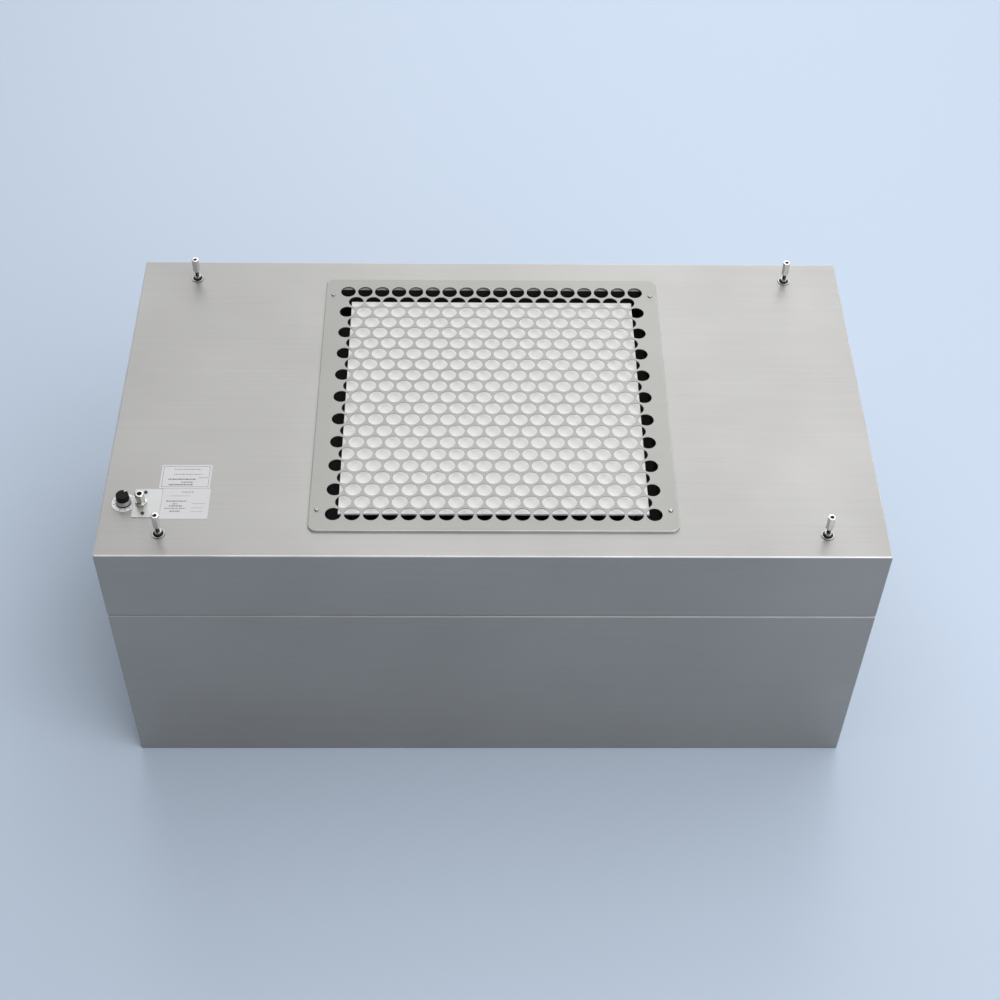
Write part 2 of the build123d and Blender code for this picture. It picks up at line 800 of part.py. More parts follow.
motor_screw = hex_bolt(
    m6_across,
    m6_head_height,
    m6_radius,
    support_plate_thickness + base_disc_thickness - shaft_end_gap,
)
with BuildPart() as motor_screws:
    with Locations(Location((0, 0, support_plate_under), (180, 0, 0))):
        with PolarLocations(motor_screw_circle, 4, start_angle=45):
            add(motor_screw)
save(motor_screws, "motor_screws")

# ---------------------------------------------------------------- motor support

with BuildPart() as motor_support_plate:
    with BuildSketch(Plane.XY.offset(support_plate_under)):
        Circle(support_disc_radius)
        with PolarLocations(support_rod_circle / 2, 4, start_angle=45):
            Rectangle(support_rod_circle, support_arm_width)
        with PolarLocations(support_rod_circle, 4, start_angle=45):
            Circle(support_arm_width / 2)
    extrude(amount=support_plate_thickness)
    with BuildSketch(Plane.XY.offset(support_plate_under)):
        Circle(base_tube_radius)
        with PolarLocations(motor_screw_circle, 4, start_angle=45):
            Circle(m6_radius + bolt_play)
        with PolarLocations(support_rod_circle, 4, start_angle=45):
            Circle(m8_radius + bolt_play)
        with PolarLocations(support_rod_circle * support_slot_place, 4, start_angle=45):
            SlotOverall(support_slot_length, support_slot_width)
    extrude(amount=support_plate_thickness, mode=Mode.SUBTRACT)
save(motor_support_plate, "motor_support_plate")

rod_low = base_under + rubber_height
stud_tail = m8_nut_height + bolt_tail
with BuildPart() as support_rods:
    with BuildSketch(Plane.XY.offset(rod_low)):
        with PolarLocations(support_rod_circle, 4, start_angle=45):
            Circle(support_rod_radius)
    extrude(amount=tray_floor_under - rod_low)
    with BuildSketch(Plane.XY.offset(support_plate_under - stud_tail)):
        with PolarLocations(support_rod_circle, 4, start_angle=45):
            Circle(m8_radius)
    extrude(amount=tray_floor_top + stud_tail - support_plate_under + stud_tail)
save(support_rods, "support_rods")

with BuildPart() as vibration_mounts:
    with BuildSketch(Plane.XY.offset(base_under)):
        with PolarLocations(support_rod_circle, 4, start_angle=45):
            Circle(rubber_radius)
            Circle(m8_radius + part_fit, mode=Mode.SUBTRACT)
    extrude(amount=rubber_height)
save(vibration_mounts, "vibration_mounts")

m8_nut = hex_blank(m8_across, m8_nut_height, m8_radius + part_fit)
with BuildPart() as support_nuts:
    with Locations((0, 0, tray_floor_top), (0, 0, support_plate_under - m8_nut_height)):
        with PolarLocations(support_rod_circle, 4, start_angle=45):
            add(m8_nut)
save(support_nuts, "support_nuts")
print("motor and support")

# ---------------------------------------------------------------- baffle

with BuildPart() as flow_baffle:
    with BuildSketch(Plane.XY.offset(baffle_top - baffle_lip)):
        Rectangle(baffle_length, inner_depth)
    extrude(amount=baffle_lip)
    fillet(flow_baffle.faces().sort_by(Axis.Z)[-1].edges().filter_by(Axis.Y), fold_radius)
    with BuildSketch(Plane.XY.offset(baffle_top - baffle_lip)):
        Rectangle(baffle_length - 2 * housing_sheet, inner_depth - 2 * housing_sheet)
    extrude(amount=baffle_lip - housing_sheet, mode=Mode.SUBTRACT)
save(flow_baffle, "flow_baffle")

# ---------------------------------------------------------------- filter

with BuildPart() as filter_gasket:
    with BuildSketch(Plane.XY.offset(housing_sheet)):
        Rectangle(filter_length - filter_play, filter_depth - filter_play)
        Rectangle(
            filter_length - filter_play - 2 * filter_gasket_width,
            filter_depth - filter_play - 2 * filter_gasket_width,
            mode=Mode.SUBTRACT,
        )
    extrude(amount=filter_gasket_thickness)
save(filter_gasket, "filter_gasket")

with BuildPart() as filter_frame:
    # a channel with its lips turned in over the filter pack
    with BuildSketch(Plane.XY.offset(filter_low)):
        Rectangle(filter_length, filter_depth)
    extrude(amount=filter_height)
    with BuildSketch(Plane.XY.offset(filter_low + filter_sheet)):
        Rectangle(filter_length - 2 * filter_sheet, filter_depth - 2 * filter_sheet)
    extrude(amount=filter_height - 2 * filter_sheet, mode=Mode.SUBTRACT)
    with BuildSketch(Plane.XY.offset(filter_low)):
        Rectangle(filter_length - 2 * filter_lip, filter_depth - 2 * filter_lip)
    extrude(amount=filter_height, mode=Mode.SUBTRACT)
save(filter_frame, "filter_frame")

pack_length = filter_length - 2 * filter_sheet - 2 * potting_width
pack_depth = filter_depth - 2 * filter_sheet - 2 * potting_width
guard_low = filter_low + filter_sheet
bead_low = guard_low + 2 * guard_wire
pack_low = bead_low + bead_height
pack_high = filter_high - filter_sheet - bead_height

with BuildPart() as filter_guard:
    # welded wire guard: long wires below, cross wires on them
    reach_x = filter_length - 2 * filter_sheet
    reach_y = filter_depth - 2 * filter_sheet
    columns = int((filter_length - 2 * filter_lip) / guard_pitch)
    rows = int((filter_depth - 2 * filter_lip) / guard_pitch)
    with BuildSketch(Plane.YZ.offset(-reach_x / 2)):
        with Locations((0, guard_low + guard_wire / 2)):
            with GridLocations(guard_pitch, 0, rows, 1):
                Circle(guard_wire / 2)
    extrude(amount=reach_x)
    with BuildSketch(Plane.XZ.offset(-reach_y / 2)):
        with Locations((0, guard_low + guard_wire * 1.5)):
            with GridLocations(guard_pitch, 0, columns, 1):
                Circle(guard_wire / 2)
    extrude(amount=reach_y)
save(filter_guard, "filter_guard")

pleat_count = int((pack_length - pleat_pitch) / pleat_pitch)
with BuildPart() as filter_media:
    # one folded paper: a zigzag of even thickness, potted at its edges
    with BuildSketch(Plane.XZ.offset(-pack_depth / 2)):
        with BuildLine():
            first_fold = -pleat_count * pleat_pitch / 2
            lower_folds = [
                (first_fold + i * pleat_pitch / 2, pack_low if i % 2 else pack_high - pleat_sheet * 3)
                for i in range(2 * pleat_count + 1)
            ]
            upper_folds = [(x, z + pleat_sheet * 3) for x, z in reversed(lower_folds)]
            Polyline(*lower_folds, *upper_folds, close=True)
        make_face()
    extrude(amount=pack_depth)
save(filter_media, "filter_media")

with BuildPart() as filter_potting:
    with BuildSketch(Plane.XY.offset(bead_low)):
        Rectangle(filter_length - 2 * filter_sheet, filter_depth - 2 * filter_sheet)
        Rectangle(pleat_count * pleat_pitch, pack_depth, mode=Mode.SUBTRACT)
    extrude(amount=pack_high + bead_height - bead_low)
save(filter_potting, "filter_potting")

bead_rows = int(pack_depth / bead_pitch)
with BuildPart() as pleat_beads:
    for level in (bead_low, pack_high):
        with BuildSketch(Plane.XY.offset(level)):
            with GridLocations(0, bead_pitch, 1, bead_rows):
                Rectangle(pleat_count * pleat_pitch, bead_width)
        extrude(amount=bead_height)
save(pleat_beads, "pleat_beads")
print("filter")

# ---------------------------------------------------------------- filter hold-downs

with BuildPart() as clamp:
    # an angle on the wall at x = 0, its top leg reaching out along +X over the filter
    with BuildSketch(Plane.XZ.offset(-clamp_width / 2)):
        with BuildLine():
            Polyline(
                (0, -clamp_leg),
                (0, clamp_sheet),
                (clamp_reach, clamp_sheet),
                (clamp_reach, 0),
                (clamp_sheet, 0),
                (clamp_sheet, -clamp_leg),
                close=True,
            )
        make_face()
    extrude(amount=clamp_width)
    fillet(clamp.edges().filter_by(Axis.Y).group_by(Axis.X)[0].sort_by(Axis.Z)[-1], clamp_sheet * 0.9)
    with BuildSketch():
        with Locations((clamp_bolt_inset, 0)):
            Circle(m6_radius + part_fit)
    extrude(amount=clamp_sheet, mode=Mode.SUBTRACT)

clamp_spacing = unit_length / 2 - clamp_from_end
clamp_walls = [(x, inner_depth / 2, -90) for x in (-clamp_spacing, 0, clamp_spacing)]
clamp_walls += [(x, -inner_depth / 2, 90) for x in (-clamp_spacing, 0, clamp_spacing)]
clamp_walls += [(-inner_length / 2, 0, 0), (inner_length / 2, 0, 180)]
clamp_places = [Location((x, y, clamp_under), (0, 0, turn)) for x, y, turn in clamp_walls]
with BuildPart() as hold_down_clamps:
    with Locations(*clamp_places):
        add(clamp.part)
save(hold_down_clamps, "hold_down_clamps")

bolt_head_rise = clamp_sheet + m6_nut_height + clamp_bolt_spare
clamp_bolt = hex_bolt(m6_across, m6_head_height, m6_radius, clamp_lift + bolt_head_rise)
with BuildPart() as hold_down_bolts:
    with Locations(*clamp_places):
        with Locations((clamp_bolt_inset, 0, bolt_head_rise)):
            add(clamp_bolt)
save(hold_down_bolts, "hold_down_bolts")

with BuildPart() as hold_down_nuts:
    with Locations(*clamp_places):
        with Locations((clamp_bolt_inset, 0, clamp_sheet)):
            add(m6_nut)
save(hold_down_nuts, "hold_down_nuts")

# ---------------------------------------------------------------- ceiling hangers

inner_nut_low = skin_under - backing_plate_thickness - m6_nut_height
stud_top = unit_height + coupling_base + hanger_stud_engagement
with BuildPart() as hanger_studs:
    with BuildSketch(Plane.XY.offset(inner_nut_low - hanger_stud_tail)):
        with GridLocations(hanger_spacing_x, hanger_spacing_y, 2, 2):
            Circle(hanger_stud_radius)
    extrude(amount=stud_top - inner_nut_low + hanger_stud_tail)
save(hanger_studs, "hanger_studs")

with BuildPart() as hanger_washers:
    with BuildSketch(Plane.XY.offset(unit_height)):
        with GridLocations(hanger_spacing_x, hanger_spacing_y, 2, 2):
            Circle(washer_radius)
            Circle(hanger_stud_radius + bolt_play, mode=Mode.SUBTRACT)
    extrude(amount=washer_thickness)
save(hanger_washers, "hanger_washers")

with BuildPart() as hanger_nuts:
    with Locations((0, 0, unit_height + washer_thickness), (0, 0, inner_nut_low)):
        with GridLocations(hanger_spacing_x, hanger_spacing_y, 2, 2):
            add(m6_nut)
save(hanger_nuts, "hanger_nuts")

# each coupling nut is drawn at its thread's core above the stud, and at the stud's
# full diameter where the stud is screwed in
coupling = hex_blank(m6_across, coupling_length, hanger_core_radius)
with BuildPart() as hanger_couplings:
    with Locations((0, 0, unit_height + coupling_base)):
        with GridLocations(hanger_spacing_x, hanger_spacing_y, 2, 2):
            add(coupling)
    with BuildSketch(Plane.XY.offset(unit_height + coupling_base)):
        with GridLocations(hanger_spacing_x, hanger_spacing_y, 2, 2):
            Circle(hanger_stud_radius + part_fit)
    extrude(amount=hanger_stud_engagement + stud_end_gap, mode=Mode.SUBTRACT)
save(hanger_couplings, "hanger_couplings")

with BuildPart() as hanger_backing_plates:
    with BuildSketch(Plane.XY.offset(skin_under - backing_plate_thickness)):
        with GridLocations(hanger_spacing_x, hanger_spacing_y, 2, 2):
            RectangleRounded(backing_plate_side, backing_plate_side, backing_plate_corner)
            Circle(hanger_stud_radius + bolt_play, mode=Mode.SUBTRACT)
    extrude(amount=backing_plate_thickness)
save(hanger_backing_plates, "hanger_backing_plates")

# ---------------------------------------------------------------- control group

plate_top = unit_height + control_plate_thickness
with BuildPart() as control_plate:
    with BuildSketch(Plane.XY.offset(unit_height)):
        with Locations((control_plate_x, control_plate_y)):
            RectangleRounded(control_plate_length, control_plate_width, control_plate_corner)
        with Locations((gland_x, gland_y)):
            Circle(gland_thread_radius + bolt_play, mode=Mode.SUBTRACT)
        with Locations(*control_screw_places):
            Circle(control_screw_radius + bolt_play, mode=Mode.SUBTRACT)
    extrude(amount=control_plate_thickness)
save(control_plate, "control_plate")

control_screw = pan_screw(
    control_screw_head_radius,
    control_screw_head_height,
    control_screw_radius,
    control_plate_thickness + housing_sheet + screw_tail,
    control_screw_recess,
)
with BuildPart() as control_screws:
    with Locations(*[(x, y, plate_top) for x, y in control_screw_places]):
        add(control_screw)
save(control_screws, "control_screws")

gland_hex_top = plate_top + gland_hex_height
gland_cap_low = gland_hex_top + gland_neck_height
gland_cap_top = gland_cap_low + gland_cap_height
seal_radius = gland_cable_radius + gland_seal_wall
gland_hex = hex_blank(gland_hex_across, gland_hex_height, 0)
with BuildPart() as gland_body:
    with Locations((gland_x, gland_y, plate_top)):
        add(gland_hex)
    with BuildSketch(Plane.XY.offset(skin_under - gland_tail)):
        with Locations((gland_x, gland_y)):
            Circle(gland_thread_radius)
    extrude(amount=plate_top - skin_under + gland_tail)
    with BuildSketch(Plane.XY.offset(gland_hex_top)):
        with Locations((gland_x, gland_y)):
            Circle(gland_neck_radius)
    extrude(amount=gland_neck_height)
    with BuildSketch(Plane.XY.offset(skin_under - gland_tail)):
        with Locations((gland_x, gland_y)):
            Circle(seal_radius)
    extrude(amount=gland_cap_top, mode=Mode.SUBTRACT)
save(gland_body, "gland_body")

with BuildPart() as gland_cap:
    with BuildSketch(Plane.XY.offset(gland_cap_low)):
        with Locations((gland_x, gland_y)):
            Circle(gland_cap_radius)
    extrude(amount=gland_cap_height)
    fillet(gland_cap.faces().sort_by(Axis.Z)[-1].edges(), gland_cap_edge)
    # spanner flats round the lower half
    with BuildSketch(Plane.XY.offset(gland_cap_low)):
        with Locations((gland_x, gland_y)):
            Circle(gland_cap_radius + gland_cap_edge)
            RegularPolygon(gland_cap_radius * 0.93, 6, major_radius=False, mode=Mode.SUBTRACT)
    extrude(amount=gland_cap_height * 0.5, mode=Mode.SUBTRACT)
    with BuildSketch(Plane.XY.offset(gland_cap_low)):
        with Locations((gland_x, gland_y)):
            Circle(seal_radius + part_fit)
    extrude(amount=gland_cap_height, mode=Mode.SUBTRACT)
save(gland_cap, "gland_cap")

with BuildPart() as gland_seal:
    with BuildSketch(Plane.XY.offset(gland_cap_low)):
        with Locations((gland_x, gland_y)):
            Circle(seal_radius)
            Circle(gland_cable_radius, mode=Mode.SUBTRACT)
    extrude(amount=gland_cap_height - gland_seal_drop)
save(gland_seal, "gland_seal")

lock_nut = hex_blank(gland_lock_across, gland_lock_height, gland_thread_radius + part_fit)
with BuildPart() as gland_lock_nut:
    with Locations((gland_x, gland_y, skin_under - gland_lock_height)):
        add(lock_nut)
save(gland_lock_nut, "gland_lock_nut")

dial_top = unit_height + dial_thickness
with BuildPart() as dial_plate:
    with BuildSketch(Plane.XY.offset(unit_height)):
        with Locations((knob_x, knob_y)):
            Circle(dial_radius)
            Circle(bushing_radius + bolt_play, mode=Mode.SUBTRACT)
        with Locations((knob_x + dial_flat, knob_y)):
            Rectangle(
                dial_radius, 2 * dial_radius, align=(Align.MIN, Align.CENTER), mode=Mode.SUBTRACT
            )
    extrude(amount=dial_thickness)
save(dial_plate, "dial_plate")

# potentiometer: can under the skin, threaded bushing through it, nut on the dial plate
bushing_top = dial_top + bushing_rise
with BuildPart() as potentiometer:
    with BuildSketch(Plane.XY.offset(skin_under - potentiometer_depth)):
        with Locations((knob_x, knob_y)):
            Circle(potentiometer_radius)
    extrude(amount=potentiometer_depth)
    with BuildSketch(Plane.XY.offset(skin_under)):
        with Locations((knob_x, knob_y)):
            Circle(bushing_radius + part_fit)
    extrude(amount=bushing_top - skin_under)
    with BuildSketch(Plane.XY.offset(skin_under - potentiometer_depth / 2)):
        with Locations((knob_x, knob_y)):
            Circle(spindle_radius + part_fit)
    extrude(amount=potentiometer_depth + bushing_top, mode=Mode.SUBTRACT)
save(potentiometer, "potentiometer")

spindle_low = skin_under - potentiometer_depth / 2 + spindle_end_gap
spindle_top = unit_height + spindle_rise
with BuildPart() as spindle:
    with BuildSketch(Plane.XY.offset(spindle_low)):
        with Locations((knob_x, knob_y)):
            Circle(spindle_radius)
    extrude(amount=spindle_top - spindle_low)
save(spindle, "spindle")

thin_nut = hex_blank(m6_across, bushing_nut_height, bushing_radius + 2 * part_fit)
with BuildPart() as bushing_nut:
    with Locations((knob_x, knob_y, dial_top)):
        add(thin_nut)
save(bushing_nut, "bushing_nut")

# black knob with a wide base, and a bright cone-shaped ring between base and fluted cap
knob_low = dial_top + dial_gap
skirt_low = knob_low + knob_base_height
skirt_top = skirt_low + skirt_height
with BuildPart() as knob_skirt:
    with BuildSketch(Plane.XY.offset(skirt_low)):
        with Locations((knob_x, knob_y)):
            Circle(knob_base_radius)
    with BuildSketch(Plane.XY.offset(skirt_top)):
        with Locations((knob_x, knob_y)):
            Circle(knob_radius)
    loft()
    with BuildSketch(Plane.XY.offset(skirt_low)):
        with Locations((knob_x, knob_y)):
            Circle(knob_core_radius + knob_fit)
    extrude(amount=skirt_height, mode=Mode.SUBTRACT)
save(knob_skirt, "knob_skirt")

with BuildPart() as speed_knob:
    with BuildSketch(Plane.XY.offset(skirt_top)):
        with Locations((knob_x, knob_y)):
            Circle(knob_radius)
            with PolarLocations(knob_radius + flute_radius * 0.3, knob_flutes):
                Circle(flute_radius, mode=Mode.SUBTRACT)
    with BuildSketch(Plane.XY.offset(skirt_top + knob_height)):
        with Locations((knob_x, knob_y)):
            Circle(knob_top_radius)
            with PolarLocations(knob_top_radius + flute_radius * 0.3, knob_flutes):
                Circle(flute_radius, mode=Mode.SUBTRACT)
    loft()
    with BuildSketch(Plane.XY.offset(knob_low)):
        with Locations((knob_x, knob_y)):
            Circle(knob_core_radius)
    extrude(amount=skirt_top - knob_low)
    with BuildSketch(Plane.XY.offset(knob_low)):
        with Locations((knob_x, knob_y)):
            Circle(knob_base_radius)
    extrude(amount=knob_base_height)
    with BuildSketch(Plane.XY.offset(knob_low)):
        with Locations((knob_x, knob_y)):
            Circle(knob_recess_radius)
    extrude(amount=bushing_top + bushing_gap - knob_low, mode=Mode.SUBTRACT)
    with BuildSketch(Plane.XY.offset(knob_low)):
        with Locations((knob_x, knob_y)):
            Circle(spindle_radius + knob_fit)
    extrude(amount=spindle_top + knob_end_gap - knob_low, mode=Mode.SUBTRACT)
save(speed_knob, "speed_knob")
print("controls")

# ---------------------------------------------------------------- control box

box_middle_x = box_end_gap + box_length / 2 - inner_length / 2
box_middle_y = knob_y + box_offset
box_floor = skin_under - box_depth + box_sheet
board_low = box_floor + pillar_height
board_top = board_low + board_thickness
pillar_span_x = board_length - 4 * pillar_radius
pillar_span_y = board_depth - 4 * pillar_radius
with BuildPart() as control_box:
    with BuildSketch(Plane.XY.offset(skin_under - box_depth)):
        with Locations((box_middle_x, box_middle_y)):
            Rectangle(box_length, box_width)
    extrude(amount=box_depth)
    with BuildSketch(Plane.XY.offset(skin_under - box_sheet)):
        with Locations((box_middle_x, box_middle_y)):
            Rectangle(box_length, box_width + 2 * box_flange)
    extrude(amount=box_sheet)
    with BuildSketch(Plane.XY.offset(box_floor)):
        with Locations((box_middle_x, box_middle_y)):
            Rectangle(box_length - 2 * box_sheet, box_width - 2 * box_sheet)
    extrude(amount=box_depth, mode=Mode.SUBTRACT)
    with BuildSketch(Plane.XY.offset(box_floor)):
        with Locations((box_middle_x, box_middle_y)):
            with GridLocations(pillar_span_x, pillar_span_y, 2, 2):
                Circle(pillar_radius)
    extrude(amount=pillar_height)
save(control_box, "control_box")

with BuildPart() as control_board:
    with BuildSketch(Plane.XY.offset(board_low)):
        with Locations((box_middle_x, box_middle_y)):
            Rectangle(board_length, board_depth)
    extrude(amount=board_thickness)
save(control_board, "control_board")

capacitor_y = box_middle_y + board_depth / 2 - capacitor_radius - board_margin
with BuildPart() as run_capacitor:
    with BuildSketch(Plane.YZ.offset(box_middle_x - capacitor_length / 2)):
        with Locations((capacitor_y, board_top + capacitor_radius)):
            Circle(capacitor_radius)
    extrude(amount=capacitor_length)
    fillet(run_capacitor.edges(), capacitor_edge_radius)
save(run_capacitor, "run_capacitor")

terminal_y = box_middle_y - board_depth / 2 + terminal_depth / 2 + board_margin
with BuildPart() as terminal_block:
    with BuildSketch(Plane.XY.offset(board_top)):
        with Locations((box_middle_x, terminal_y)):
            Rectangle(terminal_length, terminal_depth)
    extrude(amount=terminal_height)
    with BuildSketch(Plane.XY.offset(board_top + terminal_height)):
        with Locations((box_middle_x, terminal_y)):
            with GridLocations(terminal_length / terminal_count, 0, terminal_count, 1):
                Circle(terminal_hole_radius)
    extrude(amount=-terminal_height * 0.6, mode=Mode.SUBTRACT)
save(terminal_block, "terminal_block")

# the front sticker beside the control plate, and the rear one behind it
sticker_edge = control_plate_x + control_plate_length / 2 + sticker_gap
front_sticker_y = control_plate_y + front_sticker_offset
front_sticker_place = (sticker_edge + front_sticker_length / 2, front_sticker_y)
rear_sticker_place = (
    sticker_edge - rear_sticker_shift + rear_sticker_length / 2,
    front_sticker_y + (front_sticker_width + rear_sticker_width) / 2 + sticker_gap,
)
with BuildPart() as blank_stickers:
    with BuildSketch(Plane.XY.offset(unit_height)):
        with Locations(front_sticker_place):
            RectangleRounded(front_sticker_length, front_sticker_width, sticker_corner)
        with Locations(rear_sticker_place):
            RectangleRounded(rear_sticker_length, rear_sticker_width, sticker_corner)
    extrude(amount=sticker_thickness)
save(blank_stickers, "blank_stickers")
print("done")
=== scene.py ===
import json
from math import cos, pi, radians, sin

import bpy
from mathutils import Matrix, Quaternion, Vector


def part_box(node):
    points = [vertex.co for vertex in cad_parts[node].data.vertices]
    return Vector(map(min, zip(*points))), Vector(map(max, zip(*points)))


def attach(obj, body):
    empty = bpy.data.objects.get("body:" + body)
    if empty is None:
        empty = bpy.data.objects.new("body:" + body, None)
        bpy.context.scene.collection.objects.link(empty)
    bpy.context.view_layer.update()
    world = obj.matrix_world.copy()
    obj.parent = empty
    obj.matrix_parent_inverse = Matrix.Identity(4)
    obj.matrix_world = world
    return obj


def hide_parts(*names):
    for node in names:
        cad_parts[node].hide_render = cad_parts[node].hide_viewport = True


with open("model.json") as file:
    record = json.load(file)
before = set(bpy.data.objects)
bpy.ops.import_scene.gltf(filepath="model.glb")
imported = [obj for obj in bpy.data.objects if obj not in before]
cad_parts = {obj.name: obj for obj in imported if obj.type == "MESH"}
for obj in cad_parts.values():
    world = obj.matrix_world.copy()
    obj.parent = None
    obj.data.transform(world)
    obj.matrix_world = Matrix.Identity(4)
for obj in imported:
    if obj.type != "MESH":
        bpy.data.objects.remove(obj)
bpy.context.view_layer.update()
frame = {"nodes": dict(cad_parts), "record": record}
nodes = frame["nodes"]
print("frame loaded:", len(nodes), "nodes")


# working helpers


def startClean():
    # back to object mode with nothing selected
    if bpy.context.object and bpy.context.object.mode != "OBJECT":
        bpy.ops.object.mode_set(mode="OBJECT")
    bpy.ops.object.select_all(action="DESELECT")


def pick(piece):
    startClean()
    piece.select_set(True)
    bpy.context.view_layer.objects.active = piece


def editFaces(piece, wanted):
    # into edit mode with only the wanted faces selected
    pick(piece)
    bpy.ops.object.mode_set(mode="EDIT")
    bpy.ops.mesh.select_mode(type="FACE")
    bpy.ops.mesh.select_all(action="DESELECT")
    bpy.ops.object.mode_set(mode="OBJECT")
    for face in piece.data.polygons:
        face.select = wanted(face)
    bpy.ops.object.mode_set(mode="EDIT")


def editAll(piece):
    pick(piece)
    bpy.ops.object.mode_set(mode="EDIT")
    bpy.ops.mesh.select_all(action="SELECT")


def closeEdit():
    # faces turned outwards, back to object mode
    bpy.ops.mesh.select_all(action="SELECT")
    bpy.ops.mesh.normals_make_consistent(inside=False)
    bpy.ops.object.mode_set(mode="OBJECT")


def settle(piece, angle=35):
    # bakes the place into the mesh, smooths what is round and leaves the corners sharp
    pick(piece)
    bpy.ops.object.transform_apply(location=True, rotation=True, scale=True)
    bpy.ops.object.shade_smooth_by_angle(angle=radians(angle))


def turned(name, centre, profile, sides=40):
    # a lathe job: a disc drawn up through (radius, height) steps
    startClean()
    radius, height = profile[0]
    bpy.ops.mesh.primitive_circle_add(
        vertices=sides, radius=radius, fill_type="NGON", location=centre + Vector((0, 0, height))
    )
    piece = bpy.context.object
    piece.name = name
    editAll(piece)
    for nextRadius, nextHeight in profile[1:]:
        bpy.ops.mesh.extrude_region_move(
            TRANSFORM_OT_translate={"value": (0, 0, nextHeight - height)}
        )
        scale = nextRadius / radius
        bpy.ops.transform.resize(
            value=(scale, scale, 1), center_override=centre + Vector((0, 0, nextHeight))
        )
        radius, height = nextRadius, nextHeight
    closeEdit()
    return piece


def combine(piece, tool, operation):
    # a boolean modifier, applied, with the tool thrown away
    pick(piece)
    cut = piece.modifiers.new("cut", "BOOLEAN")
    cut.operation = operation
    cut.object = tool
    cut.solver = "EXACT"
    bpy.ops.object.modifier_apply(modifier=cut.name)
    bpy.data.objects.remove(tool)


def copyTo(piece, name, offset):
    # one more of the same, with its own mesh
    twin = piece.copy()
    twin.data = piece.data.copy()
    twin.name = name
    bpy.context.collection.objects.link(twin)
    twin.location = piece.location + Vector(offset)
    return twin


def joinAll(name, parts):
    startClean()
    for part in parts:
        part.select_set(True)
    bpy.context.view_layer.objects.active = parts[0]
    bpy.ops.object.join()
    joined = bpy.context.object
    joined.name = name
    return joined


def block(place, size):
    # a plain block, as a start for a bar or a mark
    startClean()
    bpy.ops.mesh.primitive_cube_add(size=1, location=place)
    piece = bpy.context.object
    piece.scale = size
    bpy.ops.object.transform_apply(location=True, rotation=True, scale=True)
    return piece


def dress(piece, material):
    piece.data.materials.clear()
    piece.data.materials.append(material)


def fit(piece, body, replaced=None):
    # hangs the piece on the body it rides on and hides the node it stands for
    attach(piece, body)
    if replaced:
        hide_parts(replaced)


# nodes that every material is put together from


def mathNode(tree, operation, *values):
    node = tree.nodes.new("ShaderNodeMath")
    node.operation = operation
    for socket, value in zip(node.inputs, values):
        if isinstance(value, bpy.types.NodeSocket):
            tree.links.new(value, socket)
        else:
            socket.default_value = value
    return node.outputs[0]


def largest(tree, first, *others):
    for other in others:
        first = mathNode(tree, "MAXIMUM", first, other)
    return first


def splitVector(tree, vector):
    node = tree.nodes.new("ShaderNodeSeparateXYZ")
    tree.links.new(vector, node.inputs[0])
    return node.outputs


def objectCoordinates(tree):
    return tree.nodes.new("ShaderNodeTexCoord").outputs["Object"]


def surfaceNormal(tree):
    return tree.nodes.new("ShaderNodeNewGeometry").outputs["Normal"]


def noiseNode(tree, vector, scale=1.0, detail=3.0, roughness=0.55, distortion=0.0):
    node = tree.nodes.new("ShaderNodeTexNoise")
    tree.links.new(vector, node.inputs["Vector"])
    node.inputs["Scale"].default_value = scale
    node.inputs["Detail"].default_value = detail
    node.inputs["Roughness"].default_value = roughness
    node.inputs["Distortion"].default_value = distortion
    return node.outputs["Fac"]


def rangeNode(tree, value, low, high, fromLow=0.3, fromHigh=0.7):
    node = tree.nodes.new("ShaderNodeMapRange")
    tree.links.new(value, node.inputs["Value"])
    node.inputs["From Min"].default_value = fromLow
    node.inputs["From Max"].default_value = fromHigh
    node.inputs["To Min"].default_value = low
    node.inputs["To Max"].default_value = high
    return node.outputs["Result"]


def blendColour(tree, factor, first, second):
    # each colour is three numbers or a socket
    node = tree.nodes.new("ShaderNodeMix")
    node.data_type = "RGBA"
    tree.links.new(factor, node.inputs["Factor"])
    for label, colour in (("A", first), ("B", second)):
        if isinstance(colour, bpy.types.NodeSocket):
            tree.links.new(colour, node.inputs[label])
        else:
            node.inputs[label].default_value = (*colour, 1)
    return node.outputs["Result"]


def bumpNode(tree, height, strength, distance):
    node = tree.nodes.new("ShaderNodeBump")
    node.inputs["Distance"].default_value = distance
    tree.links.new(strength, node.inputs["Strength"])
    tree.links.new(height, node.inputs["Height"])
    return node.outputs["Normal"]


# shared effects, as node groups

fineBump = 0.0002
fibreBump = 0.0006
endFacing = 0.7  # how far a face has to look along X to count as an end face
fibreLay = {"angles": (15, 70, 130), "tilt": (0.3, 0.2), "stretch": 0.08}
foldHighlightShape = {"rise": 4.3, "topStart": 0.95, "topFull": 0.995, "patch": 14.0, "faintest": 0.7}


def newGroup(name, inputs, values, normal=True):
    # number inputs with their defaults, number outputs and, mostly, a normal
    group = bpy.data.node_groups.new(name, "ShaderNodeTree")
    for label, value in inputs.items():
        socket = group.interface.new_socket(
            label, in_out="INPUT", socket_type="NodeSocketFloat"
        )
        socket.default_value = value
    for label in values:
        group.interface.new_socket(label, in_out="OUTPUT", socket_type="NodeSocketFloat")
    if normal:
        group.interface.new_socket("Normal", in_out="OUTPUT", socket_type="NodeSocketVector")
    return group, group.nodes.new("NodeGroupInput").outputs, group.nodes.new("NodeGroupOutput").inputs


